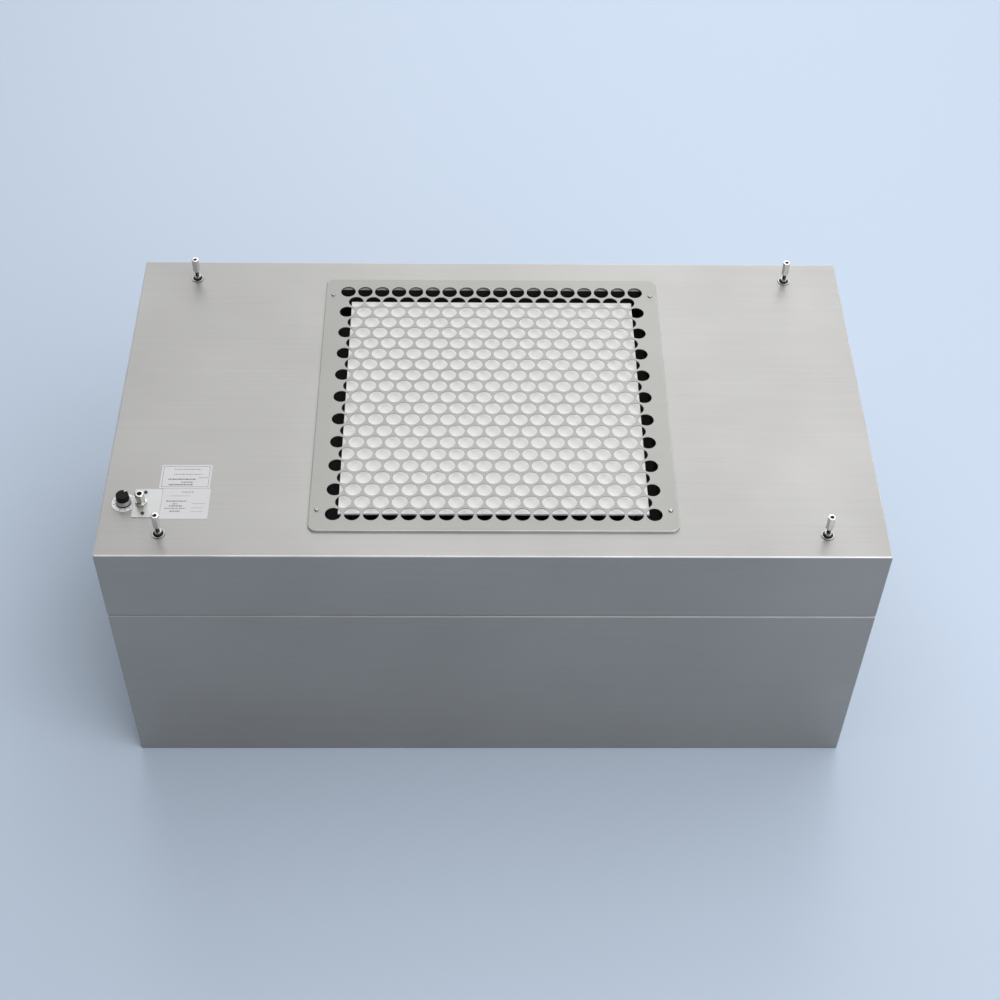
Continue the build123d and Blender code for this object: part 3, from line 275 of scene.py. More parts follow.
def buildBrushedGrain():
    # fine streaks along the sheet's length, turned to run along Y on the end faces
    group, given, result = newGroup(
        "brushedGrain", {"Along": 4.0, "Across": 900.0, "Depth": 0.1}, ["Streak"]
    )
    place = splitVector(group, objectCoordinates(group))
    facing = splitVector(group, surfaceNormal(group))
    endFace = mathNode(
        group, "GREATER_THAN", mathNode(group, "ABSOLUTE", facing["X"]), endFacing
    )
    elsewhere = mathNode(group, "SUBTRACT", 1.0, endFace)
    alongX = mathNode(group, "MULTIPLY", place["X"], elsewhere)
    along = mathNode(group, "MULTIPLY_ADD", place["Y"], endFace, alongX)
    across = mathNode(group, "MULTIPLY", place["Y"], elsewhere)
    stretched = group.nodes.new("ShaderNodeCombineXYZ")
    for axis, distance, label in (
        ("X", along, "Along"), ("Y", across, "Across"), ("Z", place["Z"], "Across")
    ):
        group.links.new(mathNode(group, "MULTIPLY", distance, given[label]), stretched.inputs[axis])
    streak = noiseNode(group, stretched.outputs[0], detail=5.0, roughness=0.7)
    group.links.new(streak, result["Streak"])
    group.links.new(bumpNode(group, streak, given["Depth"], fineBump), result["Normal"])
    return group


def buildMottle():
    # soft uneven tone with fine specks over it
    group, given, result = newGroup(
        "mottle", {"Patch": 4.0, "Speck": 300.0, "Depth": 0.1}, ["Patches", "Specks"]
    )
    place = objectCoordinates(group)
    patches = noiseNode(group, place, detail=3.0, roughness=0.5)
    specks = noiseNode(group, place, detail=2.0, roughness=0.6)
    group.links.new(given["Patch"], patches.node.inputs["Scale"])
    group.links.new(given["Speck"], specks.node.inputs["Scale"])
    group.links.new(patches, result["Patches"])
    group.links.new(specks, result["Specks"])
    group.links.new(bumpNode(group, specks, given["Depth"], fineBump), result["Normal"])
    return group


def buildFibres():
    # matted fibres: stretched noises that cross at three angles
    group, given, result = newGroup("fibres", {"Scale": 500.0, "Depth": 0.4}, ["Fibre"])
    place = objectCoordinates(group)
    layers = []
    for angle in fibreLay["angles"]:
        turn = group.nodes.new("ShaderNodeMapping")
        turn.inputs["Rotation"].default_value = (*fibreLay["tilt"], radians(angle))
        turn.inputs["Scale"].default_value = (fibreLay["stretch"], 1.0, 1.0)
        group.links.new(place, turn.inputs["Vector"])
        layer = noiseNode(group, turn.outputs["Vector"], roughness=0.6, distortion=0.4)
        group.links.new(given["Scale"], layer.node.inputs["Scale"])
        layers.append(layer)
    top = largest(group, *layers)
    group.links.new(top, result["Fibre"])
    group.links.new(bumpNode(group, top, given["Depth"], fibreBump), result["Normal"])
    return group


def buildFoldWear():
    # painted highlight on the sheet where it turns down from its top face, until its normal's rise is
    # Lowest;
    # only further than Beyond from the middle, while all of it nearer than Inside gets painted light
    group, given, result = newGroup(
        "foldWear", {"Lowest": 0.12, "Beyond": 0.0, "Inside": 0.0}, ["Wear"], normal=False
    )
    upward = splitVector(group, surfaceNormal(group))["Z"]
    rise = mathNode(group, "SUBTRACT", upward, given["Lowest"])
    aboveSide = mathNode(group, "MULTIPLY", rise, foldHighlightShape["rise"])
    aboveSide.node.use_clamp = True
    belowTop = rangeNode(
        group, upward, 1, 0, fromLow=foldHighlightShape["topStart"], fromHigh=foldHighlightShape["topFull"]
    )
    patches = noiseNode(
        group, objectCoordinates(group), scale=foldHighlightShape["patch"], detail=4.0, roughness=0.6
    )
    uneven = rangeNode(group, patches, foldHighlightShape["faintest"], 1.0)
    place = splitVector(group, objectCoordinates(group))
    reach = largest(group, *[mathNode(group, "ABSOLUTE", place[axis]) for axis in "XY"])
    outside = mathNode(group, "GREATER_THAN", reach, given["Beyond"])
    fold = mathNode(group, "MULTIPLY", mathNode(group, "MULTIPLY", aboveSide, belowTop), outside)
    # painted light over all of the sheet nearer than Inside to the middle
    rim = mathNode(group, "LESS_THAN", reach, given["Inside"])
    highlightMask = largest(group, mathNode(group, "MULTIPLY", fold, uneven), rim)
    group.links.new(highlightMask, result["Wear"])
    return group


brushedGrain = buildBrushedGrain()
mottle = buildMottle()
fibres = buildFibres()
foldWear = buildFoldWear()


# materials


def newMaterial(name, metallic, **plain):
    material = bpy.data.materials.new(name)
    material.use_nodes = True
    tree = material.node_tree
    shader = tree.nodes["Principled BSDF"].inputs
    shader["Metallic"].default_value = metallic
    for label, value in plain.items():
        shader[label.replace("_", " ")].default_value = value
    return material, tree, shader


def placeGroup(tree, group, **values):
    node = tree.nodes.new("ShaderNodeGroup")
    node.node_tree = group
    for label, value in values.items():
        node.inputs[label].default_value = value
    return node.outputs


def tonedColour(tree, tone, colour, spread):
    # the colour, a little darker and lighter with the tone
    dark = [channel * (1 - spread) for channel in colour]
    light = [min(1, channel * (1 + spread)) for channel in colour]
    return blendColour(
        tree, rangeNode(tree, tone, 0, 1, fromLow=0.35, fromHigh=0.65), dark, light
    )


def weighted(tree, first, share, second):
    rest = mathNode(tree, "MULTIPLY", second, 1 - share)
    return mathNode(tree, "MULTIPLY_ADD", first, share, rest)


def brushedSheet(
    name, colour, roughness, metallic=1.0, streak=0.06, along=4.0, across=900.0, depth=0.08,
    foldHighlightColour=None, **fold,
):
    # rolled sheet metal: streaks in tone, roughness and height, and slow uneven patches; with a fold
    # colour, painted highlight on the folds
    material, tree, shader = newMaterial(name, metallic, Anisotropic=0.35)
    grain = placeGroup(tree, brushedGrain, Along=along, Across=across, Depth=depth)
    tone = placeGroup(tree, mottle, Patch=3.5, Speck=260.0, Depth=0.0)
    mixed = weighted(tree, tone["Patches"], 0.5, grain["Streak"])
    surface = tonedColour(tree, mixed, colour, streak)
    # painted highlight and painted light, blended in where the fold group's mask says
    if foldHighlightColour:
        highlightShare = placeGroup(tree, foldWear, **fold)["Wear"]
        surface = blendColour(tree, highlightShare, surface, foldHighlightColour)
    tree.links.new(surface, shader["Base Color"])
    tree.links.new(rangeNode(tree, mixed, roughness + 0.05, roughness - 0.05), shader["Roughness"])
    tree.links.new(grain["Normal"], shader["Normal"])
    return material


def mottled(
    name, colour, roughness, metallic=0.0, spread=0.08, patch=30.0, speck=900.0, depth=0.1, **plain
):
    # cast, moulded, plated or painted surfaces with a fine even texture
    material, tree, shader = newMaterial(name, metallic, **plain)
    tone = placeGroup(tree, mottle, Patch=patch, Speck=speck, Depth=depth)
    mixed = weighted(tree, tone["Patches"], 0.6, tone["Specks"])
    tree.links.new(tonedColour(tree, mixed, colour, spread), shader["Base Color"])
    sheen = rangeNode(tree, tone["Specks"], roughness - 0.05, roughness + 0.05)
    tree.links.new(sheen, shader["Roughness"])
    tree.links.new(tone["Normal"], shader["Normal"])
    return material


def fibrous(name, dark, light, scale, depth):
    material, tree, shader = newMaterial(name, 0.0, Sheen_Weight=0.3, Sheen_Roughness=0.5)
    mat = placeGroup(tree, fibres, Scale=scale, Depth=depth)
    strand = rangeNode(tree, mat["Fibre"], 0, 1, fromLow=0.45, fromHigh=0.75)
    tree.links.new(blendColour(tree, strand, dark, light), shader["Base Color"])
    tree.links.new(rangeNode(tree, mat["Fibre"], 0.95, 0.85), shader["Roughness"])
    tree.links.new(mat["Normal"], shader["Normal"])
    return material


housingGrey = (0.352, 0.348, 0.340)

# one finish for each material slot of the frame
finishes = {
    # painted highlight on the folds, and painted light on all of the skin within Inside of the middle,
    # under the grille
    "housing_steel": brushedSheet(
        "housingSteel", housingGrey, 0.42, metallic=0.6, foldHighlightColour=(0.96, 0.96, 0.95), Inside=0.266
    ),
    # painted light on the grille border's side faces and underside, beyond Beyond from the middle
    "grille_steel": brushedSheet(
        "grilleSteel", (0.292, 0.294, 0.277), 0.40, metallic=0.6, streak=0.05,
        foldHighlightColour=(0.72, 0.72, 0.70), Lowest=-2.0, Beyond=0.272,
    ),
    "galvanised_steel": brushedSheet(
        "galvanisedSteel", (0.5, 0.51, 0.52), 0.45, metallic=0.9, streak=0.15, along=60.0, across=60.0
    ),
    "plate_aluminium": brushedSheet(
        "plateAluminium", (0.50, 0.505, 0.51), 0.38, metallic=0.6, streak=0.05, along=20.0,
        across=3000.0,
    ),
    "filter_aluminium": brushedSheet(
        "filterAluminium", (0.62, 0.63, 0.64), 0.35, metallic=0.95, streak=0.05, along=6.0,
        across=1500.0,
    ),
    "bright_steel": mottled(
        "brightSteel", (0.62, 0.62, 0.63), 0.18, metallic=1.0, spread=0.05, patch=200.0,
        speck=4000.0, depth=0.05,
    ),
    "zinc_steel": mottled(
        "zincSteel", (0.55, 0.56, 0.58), 0.34, metallic=1.0, patch=120.0, speck=3000.0, depth=0.08
    ),
    "dark_steel": mottled(
        "darkSteel", (0.07, 0.07, 0.07), 0.35, metallic=0.8, spread=0.1, patch=200.0,
        speck=4000.0, depth=0.05,
    ),
    "lamination_steel": mottled(
        "laminationSteel", (0.18, 0.18, 0.19), 0.5, metallic=0.9, spread=0.1, patch=60.0, depth=0.2
    ),
    "nickel_plate": mottled(
        "nickelPlate", (0.60, 0.59, 0.56), 0.16, metallic=1.0, spread=0.05, patch=200.0,
        speck=4000.0, depth=0.05,
    ),
    "cast_aluminium": mottled(
        "castAluminium", (0.50, 0.50, 0.51), 0.5, metallic=0.9, patch=60.0, speck=1400.0, depth=0.35
    ),
    "copper_wire": mottled(
        "copperWire", (0.62, 0.27, 0.12), 0.3, metallic=0.9, spread=0.15, patch=80.0,
        speck=700.0, depth=0.5,
    ),
    "black_paint": mottled(
        "blackPaint", (0.012, 0.012, 0.013), 0.7, spread=0.2, speck=1400.0, depth=0.3
    ),
    "rotor_paint": mottled(
        "rotorPaint", (0.02, 0.02, 0.022), 0.45, spread=0.2, speck=1400.0, depth=0.25
    ),
    "white_wire": mottled("whiteWire", (0.78, 0.78, 0.78), 0.4, spread=0.04, patch=40.0, speck=1200.0),
    "potting_resin": mottled(
        "pottingResin", (0.74, 0.70, 0.58), 0.45, spread=0.06, patch=20.0, speck=300.0, depth=0.2
    ),
    "hot_melt": mottled(
        "hotMelt", (0.80, 0.80, 0.77), 0.35, spread=0.04, patch=40.0, speck=600.0, depth=0.2
    ),
    "grey_composite": mottled(
        "greyComposite", (0.075, 0.08, 0.085), 0.5, spread=0.12, patch=50.0, speck=1600.0, depth=0.2
    ),
    "black_plastic": mottled(
        "blackPlastic", (0.006, 0.006, 0.007), 0.55, spread=0.2, patch=90.0, speck=2500.0,
        depth=0.15, Specular_IOR_Level=0.14,
    ),
    "black_rubber": mottled(
        "blackRubber", (0.02, 0.02, 0.02), 0.8, spread=0.2, patch=60.0, speck=1500.0, depth=0.3
    ),
    "board_green": mottled("boardGreen", (0.03, 0.16, 0.07), 0.35, spread=0.1, patch=60.0),
    "terminal_green": mottled(
        "terminalGreen", (0.05, 0.28, 0.14), 0.3, spread=0.06, patch=60.0, speck=1500.0
    ),
    "white_plastic": mottled(
        "whitePlastic", (0.74, 0.74, 0.73), 0.3, spread=0.03, patch=60.0, speck=1500.0
    ),
    "sticker_white": mottled(
        "stickerWhite", (0.555, 0.553, 0.575), 0.35, spread=0.02, patch=25.0, speck=700.0,
        depth=0.06, Coat_Weight=0.2,
    ),
    "white_fleece": fibrous("whiteFleece", (0.91, 0.91, 0.91), (0.98, 0.98, 0.975), 900.0, 0.5),
    "filter_paper": fibrous("filterPaper", (0.78, 0.78, 0.76), (0.88, 0.88, 0.86), 1500.0, 0.25),
}
slotOf = {part["node"]: part["material_slot"] for part in frame["record"]["subparts"]}
for nodeName, node in nodes.items():
    dress(node, finishes[slotOf[nodeName]])

# nodes whose surface differs from the rest of their slot
# a copy of the housing finish with a fainter painted highlight on its folds, the light line at the
# seam
lowerSteel = brushedSheet(
    "lowerSteel", housingGrey, 0.42, metallic=0.6, foldHighlightColour=(0.60, 0.60, 0.59)
)
dialFace = mottled(
    "dialFace", (0.74, 0.74, 0.74), 0.34, metallic=0.15, spread=0.03, patch=60.0, speck=1800.0,
    depth=0.08,
)
screwSteel = mottled(
    "screwSteel", (0.40, 0.40, 0.405), 0.17, metallic=1.0, patch=200.0, speck=4000.0, depth=0.06
)
dress(nodes["lower_housing"], lowerSteel)
dress(nodes["dial_plate"], dialFace)
dress(nodes["grille_screws"], screwSteel)
print("materials done")


# pre-filter fleece

fleece = {
    "thickness": 0.0033,
    "ripple": 0.0005,
    "rippleSize": 0.045,
    "cells": 94,
    "inset": 0.0008,
    "smoothAngle": 60,
}


def makeFleece():
    # a loose non-woven mat: gently uneven on top, flat where it lies on its rack
    low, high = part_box("prefilter_mat")
    size = Vector(high) - Vector(low)
    startClean()
    bpy.ops.mesh.primitive_grid_add(
        x_subdivisions=fleece["cells"], y_subdivisions=fleece["cells"], size=1,
        location=((low[0] + high[0]) / 2, (low[1] + high[1]) / 2, high[2] - fleece["ripple"]),
    )
    mat = bpy.context.object
    mat.name = "prefilterFleece"
    mat.scale = (size.x - 2 * fleece["inset"], size.y - 2 * fleece["inset"], 1)
    bpy.ops.object.transform_apply(location=True, rotation=True, scale=True)
    clouds = bpy.data.textures.new("fleeceClouds", "CLOUDS")
    clouds.noise_scale = fleece["rippleSize"]
    clouds.noise_depth = 2
    ripple = mat.modifiers.new("ripple", "DISPLACE")
    ripple.texture = clouds
    ripple.texture_coords = "GLOBAL"
    ripple.direction = "Z"
    ripple.strength = 2 * fleece["ripple"]
    ripple.mid_level = 0.5
    bpy.ops.object.modifier_apply(modifier=ripple.name)
    body = mat.modifiers.new("body", "SOLIDIFY")
    body.thickness = fleece["thickness"]
    body.offset = -1
    bpy.ops.object.modifier_apply(modifier=body.name)
    settle(mat, fleece["smoothAngle"])
    dress(mat, finishes["white_fleece"])
    fit(mat, "housing", "prefilter_mat")


makeFleece()
print("fleece done")


# hangers: washers, nuts, threaded studs and coupling nuts near the four corners

hanger = {
    "across": 0.010,
    "nutHeight": 0.005,
    "couplingHeight": 0.025,
    "threadRadius": 0.003,
    "coreRadius": 0.0026,
    "threadPitch": 0.001,
    "threadFlat": 0.1,  # share of the pitch
    "threadPlay": 1.01,  # bore to thread
    "washerPlay": 1.1,
    "washerEdge": 0.0003,
    "groove": (0.0080, 0.0070, 0.0003),  # outer radius, inner radius and depth
    "springRadius": 0.0077,
    # near black for the spring washer ring, and the colour of the painted shade on washer edges
    "blackened": (0.018, 0.018, 0.019),
    "edgeFacing": 0.6,  # a face that looks up less than this is an edge
}
# shares of the corner radius, the width across flats and the bore
hexShape = {"drop": 0.09, "face": 0.47, "clear": 1.01, "lead": 1.16, "leadDepth": 0.16}
overshoot = 0.0005  # by which a cutting tool stands out

washerSteel = mottled(
    "washerSteel", (0.40, 0.40, 0.405), 0.34, metallic=0.8, spread=0.1, patch=150.0,
    speck=3500.0, depth=0.1,
)
nutSteel = mottled(
    "nutSteel", (0.46, 0.46, 0.465), 0.34, metallic=1.0, spread=0.1, patch=150.0,
    speck=3500.0, depth=0.1,
)
couplingSteel = mottled(
    "couplingSteel", (0.90, 0.90, 0.91), 0.30, metallic=1.0, spread=0.04, patch=150.0,
    speck=3500.0, depth=0.03,
)
threadSteel = mottled(
    "threadSteel", (0.05, 0.05, 0.052), 0.42, metallic=0.8, spread=0.2, patch=200.0,
    speck=3500.0, depth=0.2,
)


def hexPiece(name, centre, across, height, bore):
    # a hexagon with turned-down corners and a bore with a lead-in at both ends
    startClean()
    corner = across / 2 / cos(pi / 6)
    bpy.ops.mesh.primitive_cylinder_add(
        vertices=6, radius=corner, depth=height, location=centre + Vector((0, 0, height / 2)),
        rotation=(0, 0, pi / 6),
    )
    piece = bpy.context.object
    piece.name = name
    drop = corner * hexShape["drop"]
    face = across * hexShape["face"]
    reach = corner * hexShape["clear"]
    turnedShape = turned(
        "turnedShape", centre, [(face, 0), (reach, drop), (reach, height - drop), (face, height)]
    )
    combine(piece, turnedShape, "INTERSECT")
    lead = bore * hexShape["lead"]
    leadDepth = bore * hexShape["leadDepth"]
    boreTool = turned(
        "boreTool", centre,
        [(lead, -overshoot), (lead, 0), (bore, leadDepth), (bore, height - leadDepth),
         (lead, height), (lead, height + overshoot)],
    )
    combine(piece, boreTool, "DIFFERENCE")
    return piece


def spreadTo(piece, name, spots):
    # the first one already stands at the first spot
    copies = [piece]
    for number, spot in enumerate(spots[1:], start=2):
        offset = [there - here for there, here in zip(spot, spots[0])]
        copies.append(copyTo(piece, name + str(number), offset))
    return joinAll(name, copies)


def spreadToLevel(piece, corners):
    return spreadTo(piece, piece.name, [(*corner, 0) for corner in corners])


def finishHanger(piece, node, material, angle=30):
    settle(piece, angle)
    dress(piece, material)
    fit(piece, "housing", node)


def darkenSpringsShadeEdges(reachX, reachY):
    # the spring washer is drawn near black and all edges get painted shade, the flat washer stays
    # bright
    tree = washerSteel.node_tree
    shader = tree.nodes["Principled BSDF"].inputs
    place = splitVector(tree, objectCoordinates(tree))
    squares = []
    for axis, reach in (("X", reachX), ("Y", reachY)):
        away = mathNode(tree, "SUBTRACT", mathNode(tree, "ABSOLUTE", place[axis]), reach)
        squares.append(mathNode(tree, "MULTIPLY", away, away))
    radius = mathNode(tree, "SQRT", mathNode(tree, "ADD", *squares))
    spring = mathNode(tree, "LESS_THAN", radius, hanger["springRadius"])
    upward = splitVector(tree, surfaceNormal(tree))["Z"]
    # painted shade on every face that looks up less than edgeFacing
    edges = mathNode(tree, "LESS_THAN", upward, hanger["edgeFacing"])
    surface = shader["Base Color"].links[0].from_socket
    blackened = blendColour(tree, largest(tree, spring, edges), surface, hanger["blackened"])
    tree.links.new(blackened, shader["Base Color"])


def makeWashers(corners, level, outer, thick):
    # a spring washer over a flat one, told apart by a groove
    edge = hanger["washerEdge"]
    grooveOuter, grooveInner, deep = hanger["groove"]
    first = Vector((*corners[0], level))
    washer = turned(
        "hangerWashers", first,
        [(outer - edge, 0), (outer, edge), (outer, thick - edge - deep),
         (outer - edge, thick - deep), (grooveOuter, thick - deep),
         (grooveOuter - edge, thick - 2 * deep), (grooveInner, thick - 2 * deep),
         (grooveInner, thick)],
        sides=48,
    )
    bore = hanger["threadRadius"] * hanger["washerPlay"]
    through = [(bore, -2 * overshoot), (bore, thick + 2 * overshoot)]
    hole = turned("hole", first, through, sides=32)
    combine(washer, hole, "DIFFERENCE")
    finishHanger(spreadToLevel(washer, corners), "hanger_washers", washerSteel)


def makeStuds(corners, level, length):
    pitch = hanger["threadPitch"]
    flat = hanger["threadFlat"]
    core, crest = hanger["coreRadius"], hanger["threadRadius"]
    steps = [(core, 0)]
    height = 0.0
    while height + pitch < length:
        steps += [
            (crest, height + pitch * (0.5 - flat / 2)), (crest, height + pitch * (0.5 + flat / 2)),
            (core, height + pitch),
        ]
        height += pitch
    stud = turned("hangerStuds", Vector((*corners[0], level)), steps, sides=20)
    finishHanger(spreadToLevel(stud, corners), "hanger_studs", threadSteel, angle=20)


def makeHangers():
    washerLow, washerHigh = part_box("hanger_washers")
    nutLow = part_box("hanger_nuts")[0]
    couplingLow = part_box("hanger_couplings")[0]
    studLow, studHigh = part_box("hanger_studs")
    reachX = studHigh[0] - hanger["threadRadius"]
    reachY = studHigh[1] - hanger["threadRadius"]
    corners = [(x, y) for x in (-reachX, reachX) for y in (-reachY, reachY)]
    bore = hanger["threadRadius"] * hanger["threadPlay"]

    darkenSpringsShadeEdges(reachX, reachY)
    makeWashers(corners, washerLow[2], washerHigh[0] - reachX, washerHigh[2] - washerLow[2])

    # nuts above the skin and under it
    nut = hexPiece(
        "hangerNuts", Vector((*corners[0], washerHigh[2])), hanger["across"],
        hanger["nutHeight"], bore,
    )
    drop = nutLow[2] - washerHigh[2]
    spots = [(*corner, level) for level in (0, drop) for corner in corners]
    finishHanger(spreadTo(nut, "hangerNuts", spots), "hanger_nuts", nutSteel)

    # long coupling nuts, open at the top
    coupling = hexPiece(
        "hangerCouplings", Vector((*corners[0], couplingLow[2])), hanger["across"],
        hanger["couplingHeight"], bore,
    )
    finishHanger(spreadToLevel(coupling, corners), "hanger_couplings", couplingSteel)

    makeStuds(corners, studLow[2], studHigh[2] - studLow[2])


makeHangers()
print("hangers done")


# speed knob and its dial

knob = {
    "capSides": 144,
    "edge": 0.0006,
    "foot": 0.0004,
    "pointerWidth": 0.0018,
    "pointerLength": 0.0032,
    "pointerReach": 0.009595,
    "pointerThick": 0.0005,
    "pointerSunk": 0.0002,
    "pointerFall": [(0.0007, -0.0008), (0.0005, -0.0050)],  # over the rim, then down the side
    "pointerEdge": 0.0001,
    "pointerTurn": -26.0,
    "baseRadius": 0.0118,
    "baseHeight": 0.003,
    "coreRadius": 0.0088,
    "capRadius": 0.010044,
    "capTopRadius": 0.009393,
    "rounding": [(0.035, 0.7), (0.09, 0.3)],  # narrowing, and share of the edge's height
    "dishEdge": 0.16,
    "dishFloor": 0.2,
    "dish": 0.0004,
    "middle": 0.02,
}
dial = {
    "low": -130.0,
    "high": 170.0,
    "marks": 11,
    "radius": 0.0149,
    "length": 0.0028,
    "width": 0.0009,
    "ink": 0.00006,
}
knobLow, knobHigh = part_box("speed_knob")
knobCentre = Vector(((knobLow[0] + knobHigh[0]) / 2, (knobLow[1] + knobHigh[1]) / 2, 0))


def knobLevel(height):
    return knobCentre + Vector((0, 0, height))


def makeKnobBase(ringTop):
    # the thin foot and the core that runs up through the bright ring
    edge, radius, height = knob["edge"], knob["baseRadius"], knob["baseHeight"]
    return turned(
        "knobBase", knobLevel(knobLow[2]),
        [(radius - edge, 0), (radius, edge), (radius, height - edge), (radius - edge, height),
         (knob["coreRadius"], height), (knob["coreRadius"], ringTop - knobLow[2])],
        sides=72,
    )


def makeKnobCap(ringTop):
    # a plain cap without flutes, drawn up a little narrower, rounded over and dished
    startClean()
    bpy.ops.mesh.primitive_circle_add(
        vertices=knob["capSides"], radius=knob["capRadius"], fill_type="NGON",
        location=knobLevel(ringTop),
    )
    cap = bpy.context.object
    editAll(cap)
    taper = knob["capTopRadius"] / knob["capRadius"]
    edge, foot = knob["edge"], knob["foot"]
    steps = [(1.0, foot), (taper, knobHigh[2] - ringTop - edge - foot)]
    steps += [(taper - narrower, edge * share) for narrower, share in knob["rounding"]]
    steps += [
        (taper - knob["dishEdge"], 0.0), (taper - knob["dishFloor"], -knob["dish"]),
        (knob["middle"], 0.0),
    ]
    lastScale = 1.0
    level = ringTop
    for scale, rise in steps:
        bpy.ops.mesh.extrude_region_move(TRANSFORM_OT_translate={"value": (0, 0, rise)})
        level += rise
        factor = scale / lastScale
        bpy.ops.transform.resize(value=(factor, factor, 1), center_override=knobLevel(level))
        lastScale = scale
    closeEdit()
    return cap


def makeKnob():
    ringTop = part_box("knob_skirt")[1][2]
    knobPiece = joinAll("speedKnob", [makeKnobBase(ringTop), makeKnobCap(ringTop)])
    settle(knobPiece, angle=32)
    dress(knobPiece, finishes["black_plastic"])
    fit(knobPiece, "speed_dial", "speed_knob")


def makePointer():
    # a white line over the top's rim and down the side
    top = knobHigh[2] - knob["pointerSunk"]
    middle = knob["pointerReach"] - knob["pointerLength"] / 2
    pointer = block(
        knobLevel(top) + Vector((0, middle, 0)),
        (knob["pointerWidth"], knob["pointerLength"], knob["pointerThick"]),
    )
    pointer.name = "knobPointer"
    editFaces(pointer, lambda face: face.normal.y > 0.9)
    for outward, rise in knob["pointerFall"]:
        bpy.ops.mesh.extrude_region_move(TRANSFORM_OT_translate={"value": (0, outward, rise)})
    bpy.ops.mesh.select_all(action="SELECT")
    bpy.ops.transform.rotate(
        value=radians(-knob["pointerTurn"]), orient_axis="Z", center_override=knobLevel(top)
    )
    bpy.ops.mesh.bevel(offset=knob["pointerEdge"], segments=1, affect="EDGES")
    closeEdit()
    settle(pointer)
    dress(pointer, finishes["white_plastic"])
    fit(pointer, "speed_dial")


def dialMark(centre, turn):
    # one printed bar pointing outwards; its turn is from +Y, clockwise seen from above
    mark = block(
        centre + Vector((0, dial["radius"], 0)), (dial["width"], dial["length"], dial["ink"])
    )
    editAll(mark)
    bpy.ops.transform.rotate(value=radians(turn), orient_axis="Z", center_override=centre)
    bpy.ops.object.mode_set(mode="OBJECT")
    return mark


def makeDialMarks():
    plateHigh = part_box("dial_plate")[1]
    centre = knobLevel(plateHigh[2] + dial["ink"] / 2)
    reach = dial["radius"] + dial["length"]
    step = (dial["high"] - dial["low"]) / (dial["marks"] - 1)
    marks = []
    for number in range(dial["marks"]):
        turn = dial["low"] + step * number - knob["pointerTurn"]
        # the flat side of the plate has no room for marks
        if sin(radians(turn)) * reach < plateHigh[0] - centre.x:
            marks.append(dialMark(centre, turn))
    printed = joinAll("dialMarks", marks)
    settle(printed)
    dress(printed, finishes["black_paint"])
    fit(printed, "housing")


makeKnob()
makePointer()
makeDialMarks()
print("knob and dial done")


# generic print on the blank stickers

stickerPrint = {
    "ink": 0.00004,
    "line": 0.0005,
    "frameInset": 0.003,
    "rearShift": 0.007,
    "frontSize": (0.0715, 0.060),
    "rearSize": (0.0765, 0.0475),
    "dashes": (0.0017, 0.0010, 0.0026, 0.0013),
    "gap": 0.0009,
    # rows of dashes as (left, bottom, width, height) in shares of each sticker
    "rearRows": [
        (0.26, 0.80, 0.52, 0.022), (0.26, 0.585, 0.54, 0.022), (0.76, 0.44, 0.18, 0.022),
        (0.16, 0.36, 0.54, 0.05), (0.42, 0.24, 0.24, 0.04), (0.18, 0.13, 0.48, 0.05),
    ],
    "frontRows": [
        (0.40, 0.87, 0.25, 0.024), (0.18, 0.75, 0.40, 0.012), (0.10, 0.565, 0.42, 0.034),
        (0.24, 0.475, 0.10, 0.03), (0.17, 0.405, 0.28, 0.034), (0.075, 0.33, 0.45, 0.024),
        (0.20, 0.235, 0.21, 0.034), (0.64, 0.50, 0.28, 0.010), (0.64, 0.36, 0.24, 0.010),
        (0.64, 0.24, 0.26, 0.010),
    ],
}
inkGrey = mottled(
    "inkGrey", (0.06, 0.06, 0.065), 0.5, spread=0.12, patch=60.0, speck=1500.0, depth=0.05
)


def printBar(x, y, z, width, height):
    return block((x + width / 2, y + height / 2, z), (width, height, stickerPrint["ink"]))


def printRow(left, bottom, level, width, height, start):
    # short dashes of uneven length, no two rows alike
    bars = []
    reach = left + width
    while left < reach:
        dash = stickerPrint["dashes"][start % len(stickerPrint["dashes"])]
        bars.append(printBar(left, bottom, level, min(dash, reach - left), height))
        left += dash + stickerPrint["gap"]
        start += 1
    return bars


def printFrame(left, bottom, level, width, height):
    # a thin line around, set in from the edges
    inset, line = stickerPrint["frameInset"], stickerPrint["line"]
    left, bottom = left + inset, bottom + inset
    width, height = width - 2 * inset, height - 2 * inset
    return [
        printBar(left, bottom, level, width, line),
        printBar(left, bottom + height - line, level, width, line),
        printBar(left, bottom, level, line, height),
        printBar(left + width - line, bottom, level, line, height),
    ]


def makeStickerPrint():
    low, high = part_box("blank_stickers")
    level = high[2] + stickerPrint["ink"] / 2
    # the rear sticker reaches from the low X end, the front one starts further in
    rearWidth, rearHeight = stickerPrint["rearSize"]
    rear = (low[0], high[1] - rearHeight, rearWidth, rearHeight)
    front = (low[0] + stickerPrint["rearShift"], low[1], *stickerPrint["frontSize"])
    bars = []
    for sticker, rows in ((rear, "rearRows"), (front, "frontRows")):
        left, bottom, width, height = sticker
        for start, (x, y, w, h) in enumerate(stickerPrint[rows]):
            bars += printRow(
                left + x * width, bottom + y * height, level, w * width, h * height, start
            )
    bars += printFrame(rear[0], rear[1], level, rearWidth, rearHeight)
    ink = joinAll("stickerPrint", bars)
    settle(ink)
    dress(ink, inkGrey)
    fit(ink, "housing")


makeStickerPrint()
print("sticker print done")


# floor, light and camera

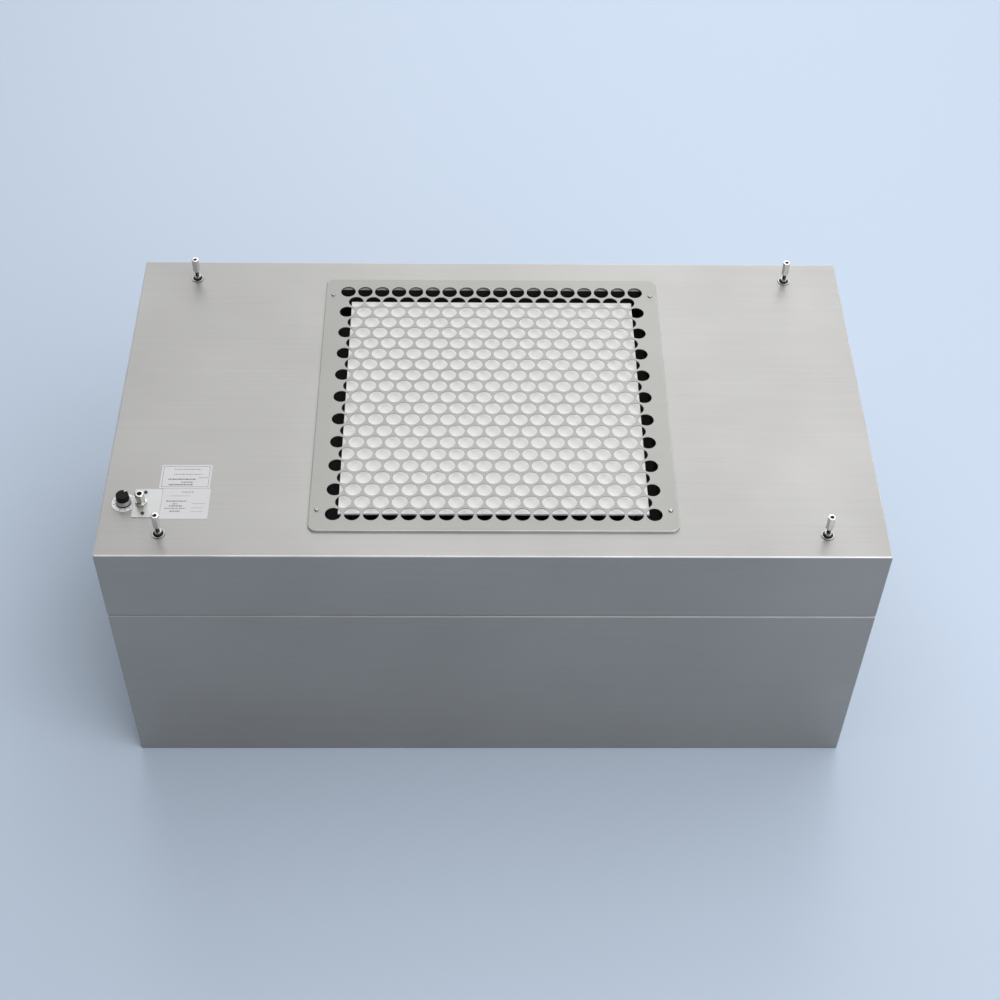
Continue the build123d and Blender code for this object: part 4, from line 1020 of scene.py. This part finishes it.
room = {
    "floorSize": 30.0,
    "floorColour": (0.54, 0.635, 0.768),
    "floorBounce": (0.60, 0.625, 0.66),
    "floorRoughness": 0.7,
    "worldColour": (0.97, 0.98, 1.0),
    "worldStrength": 0.165,
    "lampTarget": (0, 0, 0.3),
    # name, place, size in metres and power in watts
    "lamps": [
        ("overheadLamp", (0.0, 0.0, 4.0), 4.0, 56.0),
        ("backLamp", (0.0, 4.5, 3.2), 5.0, 145.0),
        ("backRightLamp", (2.0, 2.0, 3.6), 4.0, 49.0),
        ("frontRightLamp", (2.2, -2.2, 3.6), 4.0, 98.0),
    ],
}
camera = {
    "place": (-0.0393, -1.9165, 2.4807),
    "aim": (0.00927, -0.2128, 0.514),
    "roll": 1.396,
    "lens": 62.16,
    "sensor": 36.0,
    "farthest": 50.0,
}


def makeFloor():
    startClean()
    bpy.ops.mesh.primitive_plane_add(size=room["floorSize"], location=(0, 0, 0))
    floor = bpy.context.object
    floor.name = "floor"
    material, tree, shader = newMaterial("paleFloor", 0.0, Roughness=room["floorRoughness"])
    # the floor's own blue is what is seen; it throws a plainer light back up
    rays = tree.nodes.new("ShaderNodeLightPath").outputs
    seen = largest(
        tree, rays["Is Camera Ray"], rays["Is Glossy Ray"], rays["Is Transmission Ray"]
    )
    seenColour = blendColour(tree, seen, room["floorBounce"], room["floorColour"])
    tree.links.new(seenColour, shader["Base Color"])
    dress(floor, material)


def turnTowards(place, target):
    return (Vector(target) - Vector(place)).to_track_quat("-Z", "Y")


def makeLamp(name, place, size, power):
    data = bpy.data.lights.new(name, "AREA")
    data.shape = "SQUARE"
    data.size = size
    data.energy = power
    lamp = bpy.data.objects.new(name, data)
    bpy.context.scene.collection.objects.link(lamp)
    lamp.location = place
    lamp.rotation_euler = turnTowards(place, room["lampTarget"]).to_euler()


def makeWorld():
    world = bpy.data.worlds.new("studio")
    world.use_nodes = True
    background = world.node_tree.nodes["Background"].inputs
    background["Color"].default_value = (*room["worldColour"], 1)
    background["Strength"].default_value = room["worldStrength"]
    bpy.context.scene.world = world


def makeCamera():
    data = bpy.data.cameras.new("camera")
    data.lens = camera["lens"]
    data.sensor_width = camera["sensor"]
    data.clip_end = camera["farthest"]
    eye = bpy.data.objects.new("camera", data)
    bpy.context.scene.collection.objects.link(eye)
    eye.location = camera["place"]
    roll = Quaternion((0, 0, 1), radians(camera["roll"]))
    eye.rotation_euler = (turnTowards(camera["place"], camera["aim"]) @ roll).to_euler()
    bpy.context.scene.camera = eye


makeFloor()
for lamp in room["lamps"]:
    makeLamp(*lamp)
makeWorld()
makeCamera()
bpy.context.scene.view_settings.view_transform = "Standard"
print("floor, lamps and camera done")
